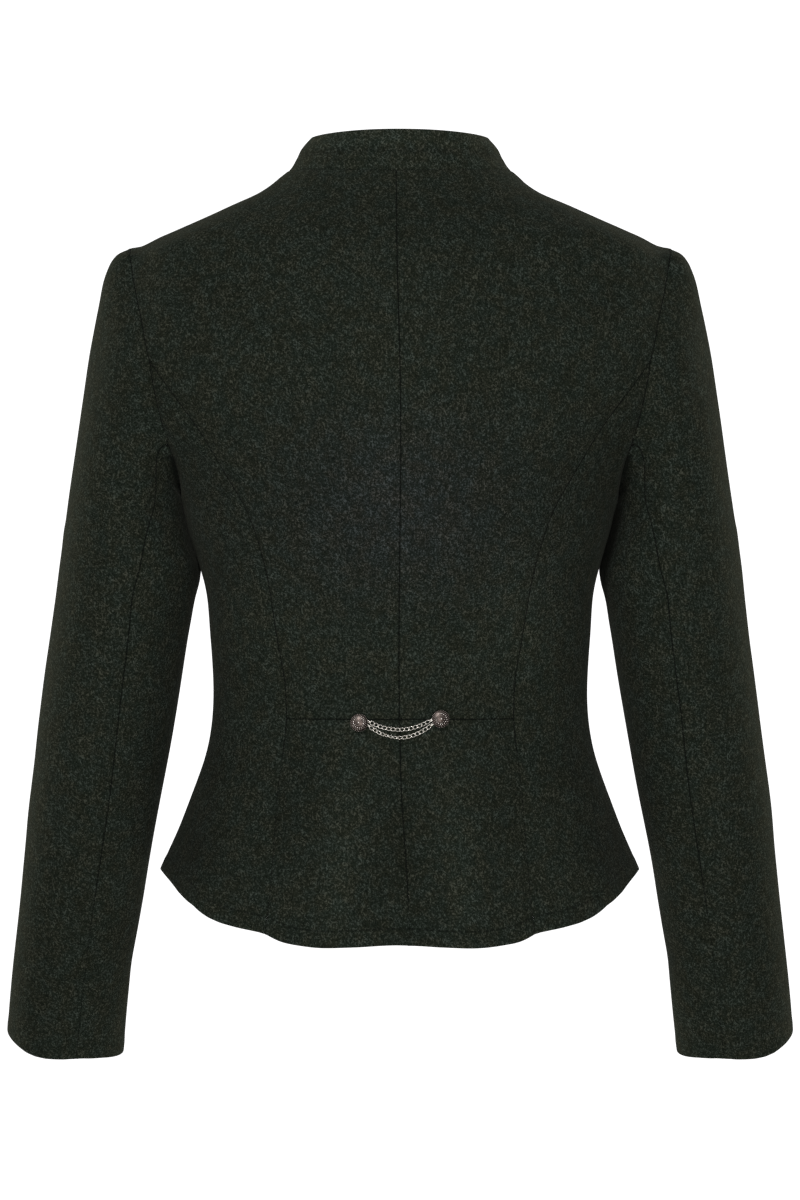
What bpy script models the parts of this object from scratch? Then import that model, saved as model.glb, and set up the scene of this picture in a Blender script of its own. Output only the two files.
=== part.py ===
"""A fitted loden jacket of the Tyrolean kind, filled out as on a wearer.

Metres, +Z up. The front of the jacket faces -Y and the wearer's left is +X. The origin is the
middle of the neck base, at the height where the collar meets the shoulder seams.

The cloth is cut from one form: horizontal slices of the torso, each an ellipse, and rings
around each sleeve. Every panel is a patch of that form between its seams, given a wall.
A place on the torso is (angle, reach): the angle runs round the body from the left side seam,
90 degrees at the middle of the back, and the reach is the way down the garment from the neck.
"""

import math
from collections import namedtuple

import bmesh
import bpy
import numpy as np
from mathutils import Vector

# Driving dimensions
WALL = 0.0022
COLLAR_WALL = 0.0030
SEAM_GAP = 0.0003
WAIST = -0.405
COLLAR_HEIGHT = 0.030
COLLAR_GAP = 0.0006
CLOSURE = 0.012
UNDER_LAP = WALL + 0.0010
ARMHOLE_TOP = -0.058
ARMHOLE_BOTTOM = -0.238
PRINCESS_TOP = -0.1436
CHEST_LEVEL = -0.262
SIDE_HEM = -0.519
FRONT_HEM = -0.548
BACK_HEM_LEVEL = -0.5625
BACK_NECK_LEVEL = -0.005
FRONT_HEM_TURN = 75
FLUTE_START = WAIST - 0.012
FLUTE_RUN = 0.165
FLUTE_POWER = 1.1
LAP_START = 0.038
LAP_RUN = 0.016

# Sleeve cap: how it leaves the armhole and how it meets the first ring below it
ARMHOLE_CLEARANCE = SEAM_GAP * 1.6
CAP_OUT = 0.95
CAP_FAN = -3.2
CAP_DROP = -0.30
CAP_LEAVE = 0.034
CAP_LEAVE_SHARE = 0.25
CAP_ARRIVE = (-0.139, 0.0, 0.990)
CAP_ARRIVE_SHARE = 0.51
CAP_TURN_LIMIT = 0.9

# Collar: where its rows of points lie, how it leans in, bows and rounds off at its front ends
COLLAR_PARTS = (0.0, 0.34, 0.70, 1.0)
COLLAR_LEAN = 0.22
COLLAR_SIDE_LEAN = 0.42
COLLAR_BOW = 0.0012
COLLAR_SIDE_BOW = -0.0035
COLLAR_END_DROP = 0.007
COLLAR_END_RUN = 0.012
COLLAR_END_TURN = 0.045

# Grid counts, shared by the pieces that meet at a seam
PEPLUM_ROWS = 7
PRINCESS_ROWS = 11
ARM_BACK_ROWS = 4
SHOULDER_ROWS = 5
SIDE_COLUMNS = 6
BACK_COLUMNS = 7
ARM_FRONT_ROWS = 9
ARM_TURN_COLUMNS = 2
NECK_COLUMNS = 6
CAP_ROWS = 5
UNDER_BACK = 3
UNDER_FRONT = 3
FINE = 80

SHARP_ANGLE = math.radians(50)
LEAST_CORNER = 0.35

Slice = namedtuple("Slice", "height half_width back front reach")
SLICES = (
    Slice(0.000, 0.0842, 0.0580, 0.0350, 0.000),
    Slice(-0.006, 0.0893, 0.0605, 0.0395, 0.008),
    Slice(-0.013, 0.0990, 0.0645, 0.0440, 0.021),
    Slice(-0.023, 0.1190, 0.0710, 0.0500, 0.045),
    Slice(-0.036, 0.1470, 0.0795, 0.0580, 0.075),
    Slice(-0.050, 0.1790, 0.0870, 0.0670, 0.108),
    Slice(-0.058, 0.1997, 0.0905, 0.0720, 0.128),
    Slice(-0.080, 0.2120, 0.0990, 0.0860, 0.153),
    Slice(-0.110, 0.2210, 0.1090, 0.1010, 0.184),
    Slice(-0.140, 0.2210, 0.1170, 0.1140, 0.214),
    Slice(-0.170, 0.2100, 0.1225, 0.1260, 0.244),
    Slice(-0.200, 0.1900, 0.1245, 0.1350, 0.274),
    Slice(-0.238, 0.1630, 0.1230, 0.1400, 0.312),
    Slice(-0.265, 0.1560, 0.1190, 0.1370, 0.339),
    Slice(-0.285, 0.1505, 0.1150, 0.1320, 0.359),
    Slice(-0.311, 0.1440, 0.1090, 0.1240, 0.385),
    Slice(-0.350, 0.1392, 0.1000, 0.1130, 0.424),
    Slice(-0.390, 0.1375, 0.0950, 0.1060, 0.464),
    Slice(-0.405, 0.1383, 0.0948, 0.1050, 0.479),
    Slice(-0.420, 0.1408, 0.0958, 0.1060, 0.494),
    Slice(-0.440, 0.1460, 0.0995, 0.1090, 0.514),
    Slice(-0.460, 0.1528, 0.1050, 0.1130, 0.534),
    Slice(-0.490, 0.1640, 0.1140, 0.1190, 0.564),
    Slice(-0.519, 0.1768, 0.1230, 0.1240, 0.593),
    Slice(-0.566, 0.1900, 0.1370, 0.1310, 0.640),
)

# Seams on the left half: how far out from the middle each one runs at each height
SeamPoint = namedtuple("SeamPoint", "height out")
PRINCESS_SEAM = (
    SeamPoint(-0.1436, 0.1778),
    SeamPoint(-0.1690, 0.1624),
    SeamPoint(-0.1860, 0.1510),
    SeamPoint(-0.2040, 0.1390),
    SeamPoint(-0.2210, 0.1295),
    SeamPoint(-0.2425, 0.1158),
    SeamPoint(-0.2750, 0.1030),
    SeamPoint(-0.3117, 0.0943),
    SeamPoint(-0.3420, 0.0900),
    SeamPoint(-0.3680, 0.0854),
    SeamPoint(-0.4050, 0.0825),
    SeamPoint(-0.4450, 0.0875),
    SeamPoint(-0.5007, 0.0920),
    SeamPoint(-0.5640, 0.0985),
)
ARMHOLE = (
    SeamPoint(-0.0580, 0.1997),
    SeamPoint(-0.0820, 0.1962),
    SeamPoint(-0.1050, 0.1912),
    SeamPoint(-0.1234, 0.1868),
    SeamPoint(-0.1436, 0.1830),
    SeamPoint(-0.1620, 0.1798),
    SeamPoint(-0.1780, 0.1768),
    SeamPoint(-0.1922, 0.1730),
    SeamPoint(-0.2050, 0.1694),
    SeamPoint(-0.2150, 0.1663),
    SeamPoint(-0.2290, 0.1632),
    SeamPoint(-0.2380, 0.1630),
)
CENTRE_BACK_SEAM = (
    SeamPoint(-0.0050, 0.0029),
    SeamPoint(-0.0750, 0.0020),
    SeamPoint(-0.1500, 0.0000),
    SeamPoint(-0.4200, 0.0000),
    SeamPoint(-0.4650, -0.0014),
    SeamPoint(-0.5000, -0.0040),
    SeamPoint(-0.5640, -0.0075),
)
FRONT_NECKLINE = (
    SeamPoint(0.0000, 0.0842),
    SeamPoint(-0.0140, 0.0800),
    SeamPoint(-0.0300, 0.0715),
    SeamPoint(-0.0460, 0.0575),
    SeamPoint(-0.0590, 0.0395),
    SeamPoint(-0.0670, 0.0200),
    SeamPoint(-0.0700, 0.0030),
    SeamPoint(-0.0702, -0.0120),
)
BACK_HEM = (
    SeamPoint(-0.5190, 0.1768),
    SeamPoint(-0.5325, 0.1590),
    SeamPoint(-0.5430, 0.1425),
    SeamPoint(-0.5520, 0.1156),
    SeamPoint(-0.5625, 0.0828),
    SeamPoint(-0.5655, 0.0540),
    SeamPoint(-0.5640, 0.0313),
    SeamPoint(-0.5625, 0.0000),
    SeamPoint(-0.5640, -0.0313),
)

# Soft folds that open from the waist to the hem: angle round the body, width and height
Flute = namedtuple("Flute", "angle width height")
FLUTES = (
    Flute(90, 6.5, -0.0040),
    Flute(76, 6.0, 0.0050),
    Flute(58, 6.5, -0.0030),
    Flute(43, 7.5, 0.0040),
    Flute(22, 8.0, -0.0025),
    Flute(-2, 9.0, 0.0020),
    Flute(-27, 8.0, -0.0020),
    Flute(-48, 8.0, 0.0030),
    Flute(-68, 8.0, -0.0025),
)

# Left sleeve below the cap, a row for each ring: where its outline runs at that height, its half
# depth, where its middle lies, how far it tips forwards and outwards, and the angles of its seams
Ring = namedtuple("Ring", "height outer inner half_depth middle tilt lean back_seam front_seam")
RINGS = (
    Ring(-0.2500, 0.2462, 0.1606, 0.0630, -0.0092, 0.00, 0.00, 122.8, 250),
    Ring(-0.2650, 0.2490, 0.1567, 0.0628, -0.0102, 0.00, 0.00, 113.5, 246),
    Ring(-0.2800, 0.2512, 0.1527, 0.0625, -0.0107, 0.00, 0.00, 107, 243),
    Ring(-0.2900, 0.2528, 0.1500, 0.0622, -0.0108, 0.00, 0.00, 103.5, 241),
    Ring(-0.3020, 0.2545, 0.1494, 0.0620, -0.0106, 0.00, 0.00, 100.8, 240),
    Ring(-0.3180, 0.2565, 0.1532, 0.0612, -0.0100, 0.00, 0.00, 99.8, 238),
    Ring(-0.3450, 0.2600, 0.1582, 0.0600, -0.008, 0.01, 0.00, 102, 236),
    Ring(-0.3950, 0.2662, 0.1658, 0.0570, -0.005, 0.03, 0.00, 102.8, 235),
    Ring(-0.4460, 0.2731, 0.1746, 0.0535, -0.008, 0.07, 0.00, 105, 235),
    Ring(-0.4970, 0.2794, 0.1846, 0.0495, -0.013, 0.11, 0.01, 106, 235),
    Ring(-0.5480, 0.2852, 0.1940, 0.0460, -0.021, 0.13, 0.04, 105.5, 235),
    Ring(-0.6000, 0.2916, 0.2020, 0.0425, -0.031, 0.15, 0.12, 105.3, 235),
    Ring(-0.6510, 0.2962, 0.2085, 0.0400, -0.041, 0.15, 0.20, 104.2, 235),
)

# Buttons: radius and height of the turned profile, from the foot up
ProfilePoint = namedtuple("ProfilePoint", "radius height")
BUTTON_PROFILE = (
    ProfilePoint(0.36, 0.00),
    ProfilePoint(0.36, 0.30),
    ProfilePoint(0.92, 0.36),
    ProfilePoint(1.00, 0.44),
    ProfilePoint(0.94, 0.56),
    ProfilePoint(0.66, 0.74),
    ProfilePoint(0.32, 0.84),
)
BUTTON_TOP = 0.93
BACK_BUTTON_LIFT = 0.0005
BACK_BUTTON_RADIUS = 0.0065
FRONT_BUTTON_RADIUS = 0.0075
BUTTON_STEPS = 18
BUTTON_MERGE = 0.00001
ButtonPlace = namedtuple("ButtonPlace", "name across height")
BACK_BUTTONS = (
    ButtonPlace("back_button_left", 0.0290, -0.4075),
    ButtonPlace("back_button_right", -0.0289, -0.4047),
)
FRONT_BUTTON_COUNT = 6
FRONT_BUTTON_FIRST = -0.096
FRONT_BUTTON_LAST = -0.398

Strand = namedtuple("Strand", "name left left_height right right_height low_height")
STRANDS = (
    Strand("chain_upper", 0.0217, -0.4068, -0.0215, -0.4059, -0.4124),
    Strand("chain_lower", 0.0219, -0.4100, -0.0222, -0.4092, -0.4182),
)
STRAND_RADIUS = 0.0011
STRAND_LIFT = 0.0010
STRAND_POINTS = 25

Finish = namedtuple("Finish", "color roughness metallic")
LODEN = Finish((0.0170, 0.0205, 0.0150, 1), 0.95, 0.0)
ANTIQUE_SILVER = Finish((0.23, 0.20, 0.17, 1), 0.42, 1.0)
CHAIN_SILVER = Finish((0.66, 0.62, 0.54, 1), 0.30, 1.0)


class Curve:
    """A smooth function through the rows of a table."""

    def __init__(self, places, values):
        order = np.argsort(places)
        self.places = np.array(places, float)[order]
        self.values = np.array(values, float)[order]
        self.slopes = np.gradient(self.values, self.places)

    def __call__(self, place):
        place = np.clip(place, self.places[0], self.places[-1])
        row = np.clip(np.searchsorted(self.places, place) - 1, 0, len(self.places) - 2)
        span = self.places[row + 1] - self.places[row]
        part = (place - self.places[row]) / span
        start = (1 + 2 * part) * (1 - part) ** 2 * self.values[row]
        end = part**2 * (3 - 2 * part) * self.values[row + 1]
        bend = part * (1 - part) ** 2 * self.slopes[row] - part**2 * (1 - part) * self.slopes[row + 1]
        return start + end + span * bend


def curve_of(rows, place, value):
    return Curve([getattr(row, place) for row in rows], [getattr(row, value) for row in rows])


half_width = curve_of(SLICES, "height", "half_width")
back_depth = curve_of(SLICES, "height", "back")
front_depth = curve_of(SLICES, "height", "front")
princess_out = curve_of(PRINCESS_SEAM, "height", "out")
armhole_out = curve_of(ARMHOLE, "height", "out")
centre_out = curve_of(CENTRE_BACK_SEAM, "height", "out")
neckline_height = curve_of(FRONT_NECKLINE, "out", "height")
back_hem_height = curve_of(BACK_HEM, "out", "height")


def reach_of(height):
    return np.interp(-np.asarray(height), [-row.height for row in SLICES], [row.reach for row in SLICES])


def height_of(reach):
    return np.interp(reach, [row.reach for row in SLICES], [row.height for row in SLICES])


def smooth_step(value):
    value = np.clip(value, 0, 1)
    return value * value * (3 - 2 * value)


def flute_height(degrees, height):
    """How far the skirt of the jacket stands out of its slice, from its soft folds."""
    opening = smooth_step((FLUTE_START - height) / FLUTE_RUN) ** FLUTE_POWER
    return opening * sum(
        flute.height * np.exp(-(((degrees - flute.angle) / flute.width) ** 2)) for flute in FLUTES
    )


def form(angle, reach):
    """The outside of the cloth on the left half, at an angle in radians and a reach."""
    height = height_of(reach)
    depth = np.where(angle > 0, back_depth(height), front_depth(height))
    folded = np.degrees(np.where(angle > math.pi / 2, math.pi - angle, angle))
    lift = flute_height(folded, height)
    across = (half_width(height) + lift) * np.cos(angle)
    return np.stack([across, (depth + lift) * np.sin(angle), height], axis=-1)


def outward(angle, reach):
    """The unit normal of the form."""
    small = 1e-4
    round_it = form(angle + small, reach) - form(angle - small, reach)
    down = form(angle, reach + small) - form(angle, reach - small)
    normal = np.cross(down, round_it)
    return normal / np.linalg.norm(normal, axis=-1, keepdims=True)


def angle_at(out, height, front=False):
    """The angle of the form's point that lies this far out at this height."""
    angle = np.arccos(np.clip(out / half_width(height), -1, 1))
    return -angle if front else angle


def even(nodes, count):
    """Spaces the nodes of a seam evenly along it: count + 1 nodes."""
    points = form(nodes[:, 0], nodes[:, 1])
    steps = np.linalg.norm(np.diff(points, axis=0), axis=1)
    along = np.concatenate([[0], np.cumsum(steps)])
    wanted = np.linspace(0, along[-1], count + 1)
    return np.stack([np.interp(wanted, along, nodes[:, k]) for k in (0, 1)], axis=1)


def seam(heights, outs, front=False):
    return np.stack([angle_at(outs, heights, front), reach_of(heights)], axis=1)


def joined(*runs):
    """End-to-end runs of nodes as one run, each shared node once."""
    return np.concatenate([runs[0]] + [run[1:] for run in runs[1:]])


def armhole_run(front):
    """The armhole's nodes from the shoulder tip to the underarm."""
    turn = np.linspace(0, math.pi / 2, FINE)
    heights = ARMHOLE_TOP + (ARMHOLE_BOTTOM - ARMHOLE_TOP) * np.sin(turn) ** 1.3
    outs = armhole_out(heights)
    outs[0] = half_width(ARMHOLE_TOP)
    outs[-1] = half_width(ARMHOLE_BOTTOM)
    return seam(heights, outs, front)


def cut_at(run, height):
    """Splits a run of nodes where it passes a height."""
    reach = reach_of(height)
    row = int(np.argmax(run[:, 1] >= reach))
    part = (reach - run[row - 1, 1]) / (run[row, 1] - run[row - 1, 1])
    node = run[row - 1] + part * (run[row] - run[row - 1])
    return np.vstack([run[:row], node]), np.vstack([node, run[row:]])


def princess_run(top, bottom, count):
    heights = np.linspace(top, bottom, FINE)
    outs = princess_out(heights)
    return even(seam(heights, outs), count)


def hem_height(degrees):
    """The hem: low behind, high at the side seams and a little lower again in front."""
    out = float(half_width(SIDE_HEM)) * np.cos(np.radians(degrees))
    front = SIDE_HEM + (FRONT_HEM - SIDE_HEM) * smooth_step(-degrees / FRONT_HEM_TURN)
    return np.where(degrees >= 0, back_hem_height(out), front)


def hem_run(start, end, count):
    """Hem nodes between two angles."""
    angles = np.linspace(start, end, count + 1)
    return np.stack([angles, reach_of(hem_height(np.degrees(angles)))], axis=1)


def hem_node(out):
    """The hem's node where a seam ends that runs this far out."""
    height = float(back_hem_height(out))
    return np.array([float(angle_at(out, height)), float(reach_of(height))])


def coons(bottom, top, left, right):
    """A patch between four runs of nodes; rows run from bottom to top."""
    across = np.linspace(0, 1, len(bottom))[None, :, None]
    up = np.linspace(0, 1, len(left))[:, None, None]
    between_rows = (1 - up) * bottom[None] + up * top[None]
    between_columns = (1 - across) * left[:, None] + across * right[:, None]
    corners = (1 - up) * ((1 - across) * bottom[0] + across * bottom[-1]) + up * (
        (1 - across) * top[0] + across * top[-1]
    )
    return between_rows + between_columns - corners


def coons_across(bottom, top, left, right):
    """As coons, but even in the distance from the middle, which suits the shoulder and neck."""
    front = bottom[:, 0].mean() < 0

    def flat(run):
        return np.stack([half_width(height_of(run[:, 1])) * np.cos(run[:, 0]), run[:, 1]], axis=1)

    block = coons(flat(bottom), flat(top), flat(left), flat(right))
    block[..., 0] = angle_at(block[..., 0], height_of(block[..., 1]), front)
    block[0], block[-1] = bottom, top
    block[:, 0], block[:, -1] = left, right
    return block


def weld(blocks):
    """Blocks of nodes as one list of nodes and the four-cornered cells between them."""
    nodes = []
    numbers = {}
    cells = []
    for block in blocks:
        index = np.zeros(block.shape[:2], int)
        for row, column in np.ndindex(block.shape[:2]):
            key = tuple(np.round(block[row, column], 6))
            if key not in numbers:
                numbers[key] = len(nodes)
                nodes.append(block[row, column])
            index[row, column] = numbers[key]
        for row, column in np.ndindex(block.shape[0] - 1, block.shape[1] - 1):
            near = (index[row, column], index[row, column + 1])
            far = (index[row + 1, column + 1], index[row + 1, column])
            cells.append(near + far)
    return np.array(nodes), cells


def edge_insets(points, normals, cells, distance):
    """How each point on the open edge of a panel moves in, to leave room at the seam."""
    owners = {}
    for cell in cells:
        for start, end in zip(cell, cell[1:] + cell[:1]):
            owners.setdefault(frozenset((start, end)), []).append((start, end, cell))
    inward = {}
    for uses in owners.values():
        if len(uses) != 1:
            continue
        start, end, cell = uses[0]
        along = points[end] - points[start]
        middle = (points[start] + points[end]) / 2
        side = np.cross(normals[start] + normals[end], along)
        side = side / np.linalg.norm(side)
        if np.dot(points[list(cell)].mean(axis=0) - middle, side) < 0:
            side = -side
        inward.setdefault(start, []).append(side)
        inward.setdefault(end, []).append(side)
    moved = points.copy()
    for number, sides in inward.items():
        both = sides[0] + sides[-1]
        moved[number] += distance * both / max(LEAST_CORNER, 1 + float(np.dot(sides[0], sides[-1])))
    return moved


def finish_material(name, finish):
    material = bpy.data.materials.get(name) or bpy.data.materials.new(name)
    material.use_nodes = True
    shader = material.node_tree.nodes["Principled BSDF"]
    shader.inputs["Base Color"].default_value = finish.color
    shader.inputs["Roughness"].default_value = finish.roughness
    shader.inputs["Metallic"].default_value = finish.metallic
    return material


def new_object(name, mesh, material):
    piece = bpy.data.objects.new(name, mesh)
    piece.data.materials.append(material)
    jacket.objects.link(piece)
    return piece


def add_shell(name, outside, inside, cells, material):
    """A closed wall: the outside skin, its copy inside, and a rim between their open edges."""
    build = bmesh.new()
    outer = [build.verts.new(point) for point in outside]
    for cell in cells:
        build.faces.new([outer[number] for number in cell])
    build.verts.index_update()
    rim = [(edge.verts[0].index, edge.verts[1].index) for edge in build.edges if edge.is_boundary]
    copy = bmesh.ops.duplicate(build, geom=build.verts[:] + build.edges[:] + build.faces[:])
    inner = {}
    for vertex in outer:
        twin = copy["vert_map"][vertex]
        twin.co = inside[vertex.index]
        inner[vertex.index] = twin
    for start, end in rim:
        build.faces.new([outer[start], outer[end], inner[end], inner[start]])
    bmesh.ops.triangulate(build, faces=build.faces[:], quad_method="SHORT_EDGE")
    bmesh.ops.recalc_face_normals(build, faces=build.faces[:])
    mesh = bpy.data.meshes.new(name)
    build.to_mesh(mesh)
    build.free()
    mesh.shade_smooth()
    mesh.set_sharp_from_angle(angle=SHARP_ANGLE)
    return new_object(name, mesh, material)


def grid_cells(rows, width):
    """The four-cornered cells of a grid of points, numbered row by row."""
    corners = [row * width + column for row in range(rows - 1) for column in range(width - 1)]
    return [(first, first + 1, first + width + 1, first + width) for first in corners]


def mirrored(points):
    return points * np.array([-1.0, 1.0, 1.0])


def torso_panel(name, blocks, side, sunk=None):
    """A panel of the torso from its blocks of nodes, on the left (1) or the right (-1)."""
    nodes, cells = weld(blocks)
    points = form(nodes[:, 0], nodes[:, 1])
    normals = outward(nodes[:, 0], nodes[:, 1])
    if sunk is not None:
        points = points - normals * sunk(points)[:, None]
    points = edge_insets(points, normals, cells, SEAM_GAP / 2)
    inside = points - normals * WALL
    if side < 0:
        points = mirrored(points)
        inside = mirrored(inside)
    return add_shell(name, points, inside, cells, loden)


def centre_run(side, top, bottom, count):
    """Nodes of the centre back seam, which wanders a little off the middle."""
    heights = np.linspace(top, bottom, count + 1)
    return seam(heights, side * centre_out(heights))


def waist_run(side):
    """The waist seam, from the centre back to the princess seam."""
    start = angle_at(side * centre_out(WAIST), WAIST)
    end = angle_at(princess_out(WAIST), WAIST)
    angles = np.linspace(start, end, BACK_COLUMNS + 1)
    return np.stack([angles, np.full(len(angles), float(reach_of(WAIST)))], axis=1)


def back_neck_run(side):
    """The back neckline, from the centre back to the end of the shoulder seam."""
    start = float(angle_at(side * centre_out(BACK_NECK_LEVEL), BACK_NECK_LEVEL))
    angles = np.linspace(start, 0, BACK_COLUMNS + 1)
    reaches = reach_of(BACK_NECK_LEVEL) * np.sin(np.clip(angles, 0, math.pi / 2)) ** 2
    return np.stack([angles, reaches], axis=1)


def shoulder_run():
    """The shoulder seam, from the tip to the neck."""
    reaches = np.linspace(reach_of(ARMHOLE_TOP), 0, SHOULDER_ROWS + 1)
    return np.stack([np.zeros(SHOULDER_ROWS + 1), reaches], axis=1)


def back_armhole():
    """The upper stretch to the princess seam and the lower one to the underarm, tip first."""
    high, low = cut_at(armhole_run(front=False), PRINCESS_TOP)
    return even(high, ARM_BACK_ROWS), even(low, SIDE_COLUMNS)


def princess_from_armhole(count):
    """The princess seam from the armhole to the waist, starting at the armhole's own node."""
    start = back_armhole()[0][-1]
    run = princess_run(PRINCESS_TOP, WAIST, FINE)
    run[:, 0] += (start[0] - run[0, 0]) * np.linspace(1, 0, len(run)) ** 3
    return even(run, count)


def princess_to_hem():
    node = hem_node(float(princess_out(BACK_HEM_LEVEL)))
    run = princess_run(WAIST, float(height_of(node[1])), PEPLUM_ROWS)
    run[-1] = node
    return run


def side_seam_run():
    """The side seam from the hem up to the underarm."""
    rows = PEPLUM_ROWS + PRINCESS_ROWS
    heights = np.linspace(SIDE_HEM, ARMHOLE_BOTTOM, rows + 1)
    return np.stack([np.zeros(rows + 1), reach_of(heights)], axis=1)


def add_back_upper(name, side):
    arm_high, _ = back_armhole()
    outer = joined(princess_from_armhole(PRINCESS_ROWS)[::-1], arm_high[::-1], shoulder_run())
    neck = back_neck_run(side)
    inner = centre_run(side, WAIST, float(height_of(neck[0, 1])), len(outer) - 1)
    inner[-1] = neck[0]
    torso_panel(name, [coons_across(waist_run(side), neck, inner, outer)], side)


def add_back_peplum(name, side):
    outer = princess_to_hem()[::-1]
    centre_hem = hem_node(side * float(centre_out(BACK_HEM_LEVEL)))
    inner = centre_run(side, float(height_of(centre_hem[1])), WAIST, PEPLUM_ROWS)
    inner[0] = centre_hem
    hem = hem_run(centre_hem[0], outer[0, 0], BACK_COLUMNS)
    hem[0] = centre_hem
    hem[-1] = outer[0]
    torso_panel(name, [coons(hem, waist_run(side), inner, outer)], side)


def add_side_back(name, side):
    _, arm_low = back_armhole()
    inner = joined(princess_from_armhole(PRINCESS_ROWS), princess_to_hem())[::-1]
    hem = hem_run(inner[0, 0], 0, SIDE_COLUMNS)
    hem[0] = inner[0]
    torso_panel(name, [coons(hem, arm_low, inner, side_seam_run())], side)


def centre_front_nodes(heights):
    return seam(heights, np.full(len(heights), -CLOSURE), front=True)


def front_neck_run():
    """The front neckline from the shoulder seam to the centre front, and past it to the edge."""
    outs = np.linspace(FRONT_NECKLINE[0].out, FRONT_NECKLINE[-2].out, FINE)
    heights = neckline_height(outs)
    run = even(seam(heights, outs, front=True), NECK_COLUMNS)
    return np.vstack([run, centre_front_nodes(np.array([FRONT_NECKLINE[-1].height]))])


def front_armhole():
    return even(armhole_run(front=True), ARM_FRONT_ROWS)


def add_front(name, side, sunk):
    """A front: a lower block under the armhole and an upper one beside it."""
    arm = front_armhole()[::-1]
    turn = arm[: ARM_TURN_COLUMNS + 1]
    rest = joined(arm[ARM_TURN_COLUMNS:], shoulder_run())
    columns = ARM_TURN_COLUMNS + NECK_COLUMNS + 1
    side_run = side_seam_run()
    front_low = centre_front_nodes(np.linspace(FRONT_HEM, CHEST_LEVEL, len(side_run)))
    front_high = centre_front_nodes(np.linspace(CHEST_LEVEL, FRONT_NECKLINE[-1].height, len(rest)))
    neck = front_neck_run()
    front_high[-1] = neck[-1]
    chest = np.linspace(turn[-1], front_low[-1], NECK_COLUMNS + 2)
    hem = hem_run(0, front_low[0, 0], columns)
    hem[-1] = front_low[0]
    lower = coons(hem, joined(turn, chest), side_run, front_low)
    upper = coons_across(chest, neck, rest, front_high)
    torso_panel(name, [lower, upper], side, sunk)


def under_lap(points):
    """How far the left front lies in, under the right one."""
    return UNDER_LAP * smooth_step((LAP_START - points[:, 0]) / LAP_RUN)


def armhole_ring():
    """The whole armhole, from the back sleeve seam over the shoulder round to it again."""
    arm_high, arm_low = back_armhole()
    run = joined(arm_high, arm_low, front_armhole()[::-1])[:-1]
    return np.roll(run, -(ARM_BACK_ROWS + UNDER_BACK), axis=0)


def ring_nodes():
    """For each node of the armhole ring, how far it is from the back seam round to the front one.

    0 to 1 runs over the under sleeve, and 1 to 2 over the top sleeve back to the start.
    """
    under = UNDER_BACK + UNDER_FRONT
    top = len(armhole_ring()) - under
    return np.concatenate([np.linspace(0, 1, under + 1)[:-1], np.linspace(1, 2, top + 1)[:-1]])


def sleeve_ring(ring, parts):
    """Points round the sleeve at a ring of the table, for places given as in ring_nodes."""
    start = ring.back_seam
    end = ring.front_seam
    degrees = np.where(parts < 1, start + (end - start) * parts, end + (360 + start - end) * (parts - 1))
    turn = np.radians(degrees)
    half = (ring.outer - ring.inner) / 2
    sideways = half * np.cos(turn)
    depth = ring.half_depth * np.sin(turn)
    across = (ring.outer + ring.inner) / 2 + sideways
    rise = ring.lean * sideways - ring.tilt * depth
    return np.stack([across, ring.middle + depth, ring.height + rise], axis=1)


def cap_path(start, end, part):
    """Where the sleeve cap runs between an armhole point and the ring below it."""
    length = np.linalg.norm(end - start, axis=1, keepdims=True)
    high = np.clip((start[:, 2:] - ARMHOLE_BOTTOM) / (ARMHOLE_TOP - ARMHOLE_BOTTOM), 0, 1)
    out = np.concatenate([CAP_OUT + 0 * high, CAP_FAN * start[:, 1:2], CAP_DROP * high], axis=1)
    leave = start + out * np.minimum(CAP_LEAVE, CAP_LEAVE_SHARE * length)
    arrive = end + np.array(CAP_ARRIVE) * CAP_ARRIVE_SHARE * length
    keep = 1 - part
    return keep**3 * start + 3 * keep**2 * part * leave + 3 * keep * part**2 * arrive + part**3 * end


def sleeve_rows():
    """The whole left sleeve: rows of points from the armhole to the cuff."""
    nodes = armhole_ring()
    parts = ring_nodes()
    start = form(nodes[:, 0], nodes[:, 1]) + np.array([ARMHOLE_CLEARANCE, 0, 0])
    first = sleeve_ring(RINGS[0], parts)
    rows = [cap_path(start, first, part) for part in np.linspace(0, 1, CAP_ROWS + 1)]
    rows += [sleeve_ring(ring, parts) for ring in RINGS[1:]]
    return np.array(rows)


def sleeve_normals(rows):
    """Unit normals of the closed sleeve, kept from turning into the torso at the armhole."""
    along = np.gradient(rows, axis=0)
    round_it = np.roll(rows, -1, axis=1) - np.roll(rows, 1, axis=1)
    normals = np.cross(round_it, along)
    normals /= np.linalg.norm(normals, axis=2, keepdims=True)
    middle = rows.mean(axis=1, keepdims=True)
    facing = np.sum(normals * (rows - middle), axis=2, keepdims=True)
    normals *= np.sign(np.median(facing[CAP_ROWS:]))
    nodes = armhole_ring()
    torso = outward(nodes[:, 0], nodes[:, 1])
    normals[0, :, 0] = np.minimum(normals[0, :, 0], torso[:, 0] * CAP_TURN_LIMIT)
    normals[0] /= np.linalg.norm(normals[0], axis=1, keepdims=True)
    return normals


def add_sleeve(side, side_name):
    """A two-piece sleeve: the under piece faces the body and the top piece goes over the arm."""
    rows = sleeve_rows()
    normals = sleeve_normals(rows)
    under = UNDER_BACK + UNDER_FRONT
    count = rows.shape[1]
    spans = {"sleeve_under": range(0, under + 1), "sleeve_top": range(under, count + 1)}
    for piece, span in spans.items():
        columns = [number % count for number in span]
        points = rows[:, columns].reshape(-1, 3)
        facing = normals[:, columns].reshape(-1, 3)
        cells = grid_cells(len(rows), len(columns))
        points = edge_insets(points, facing, cells, SEAM_GAP / 2)
        inside = points - facing * WALL
        if side < 0:
            points = mirrored(points)
            inside = mirrored(inside)
        add_shell(f"{piece}_{side_name}", points, inside, cells, loden)


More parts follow.
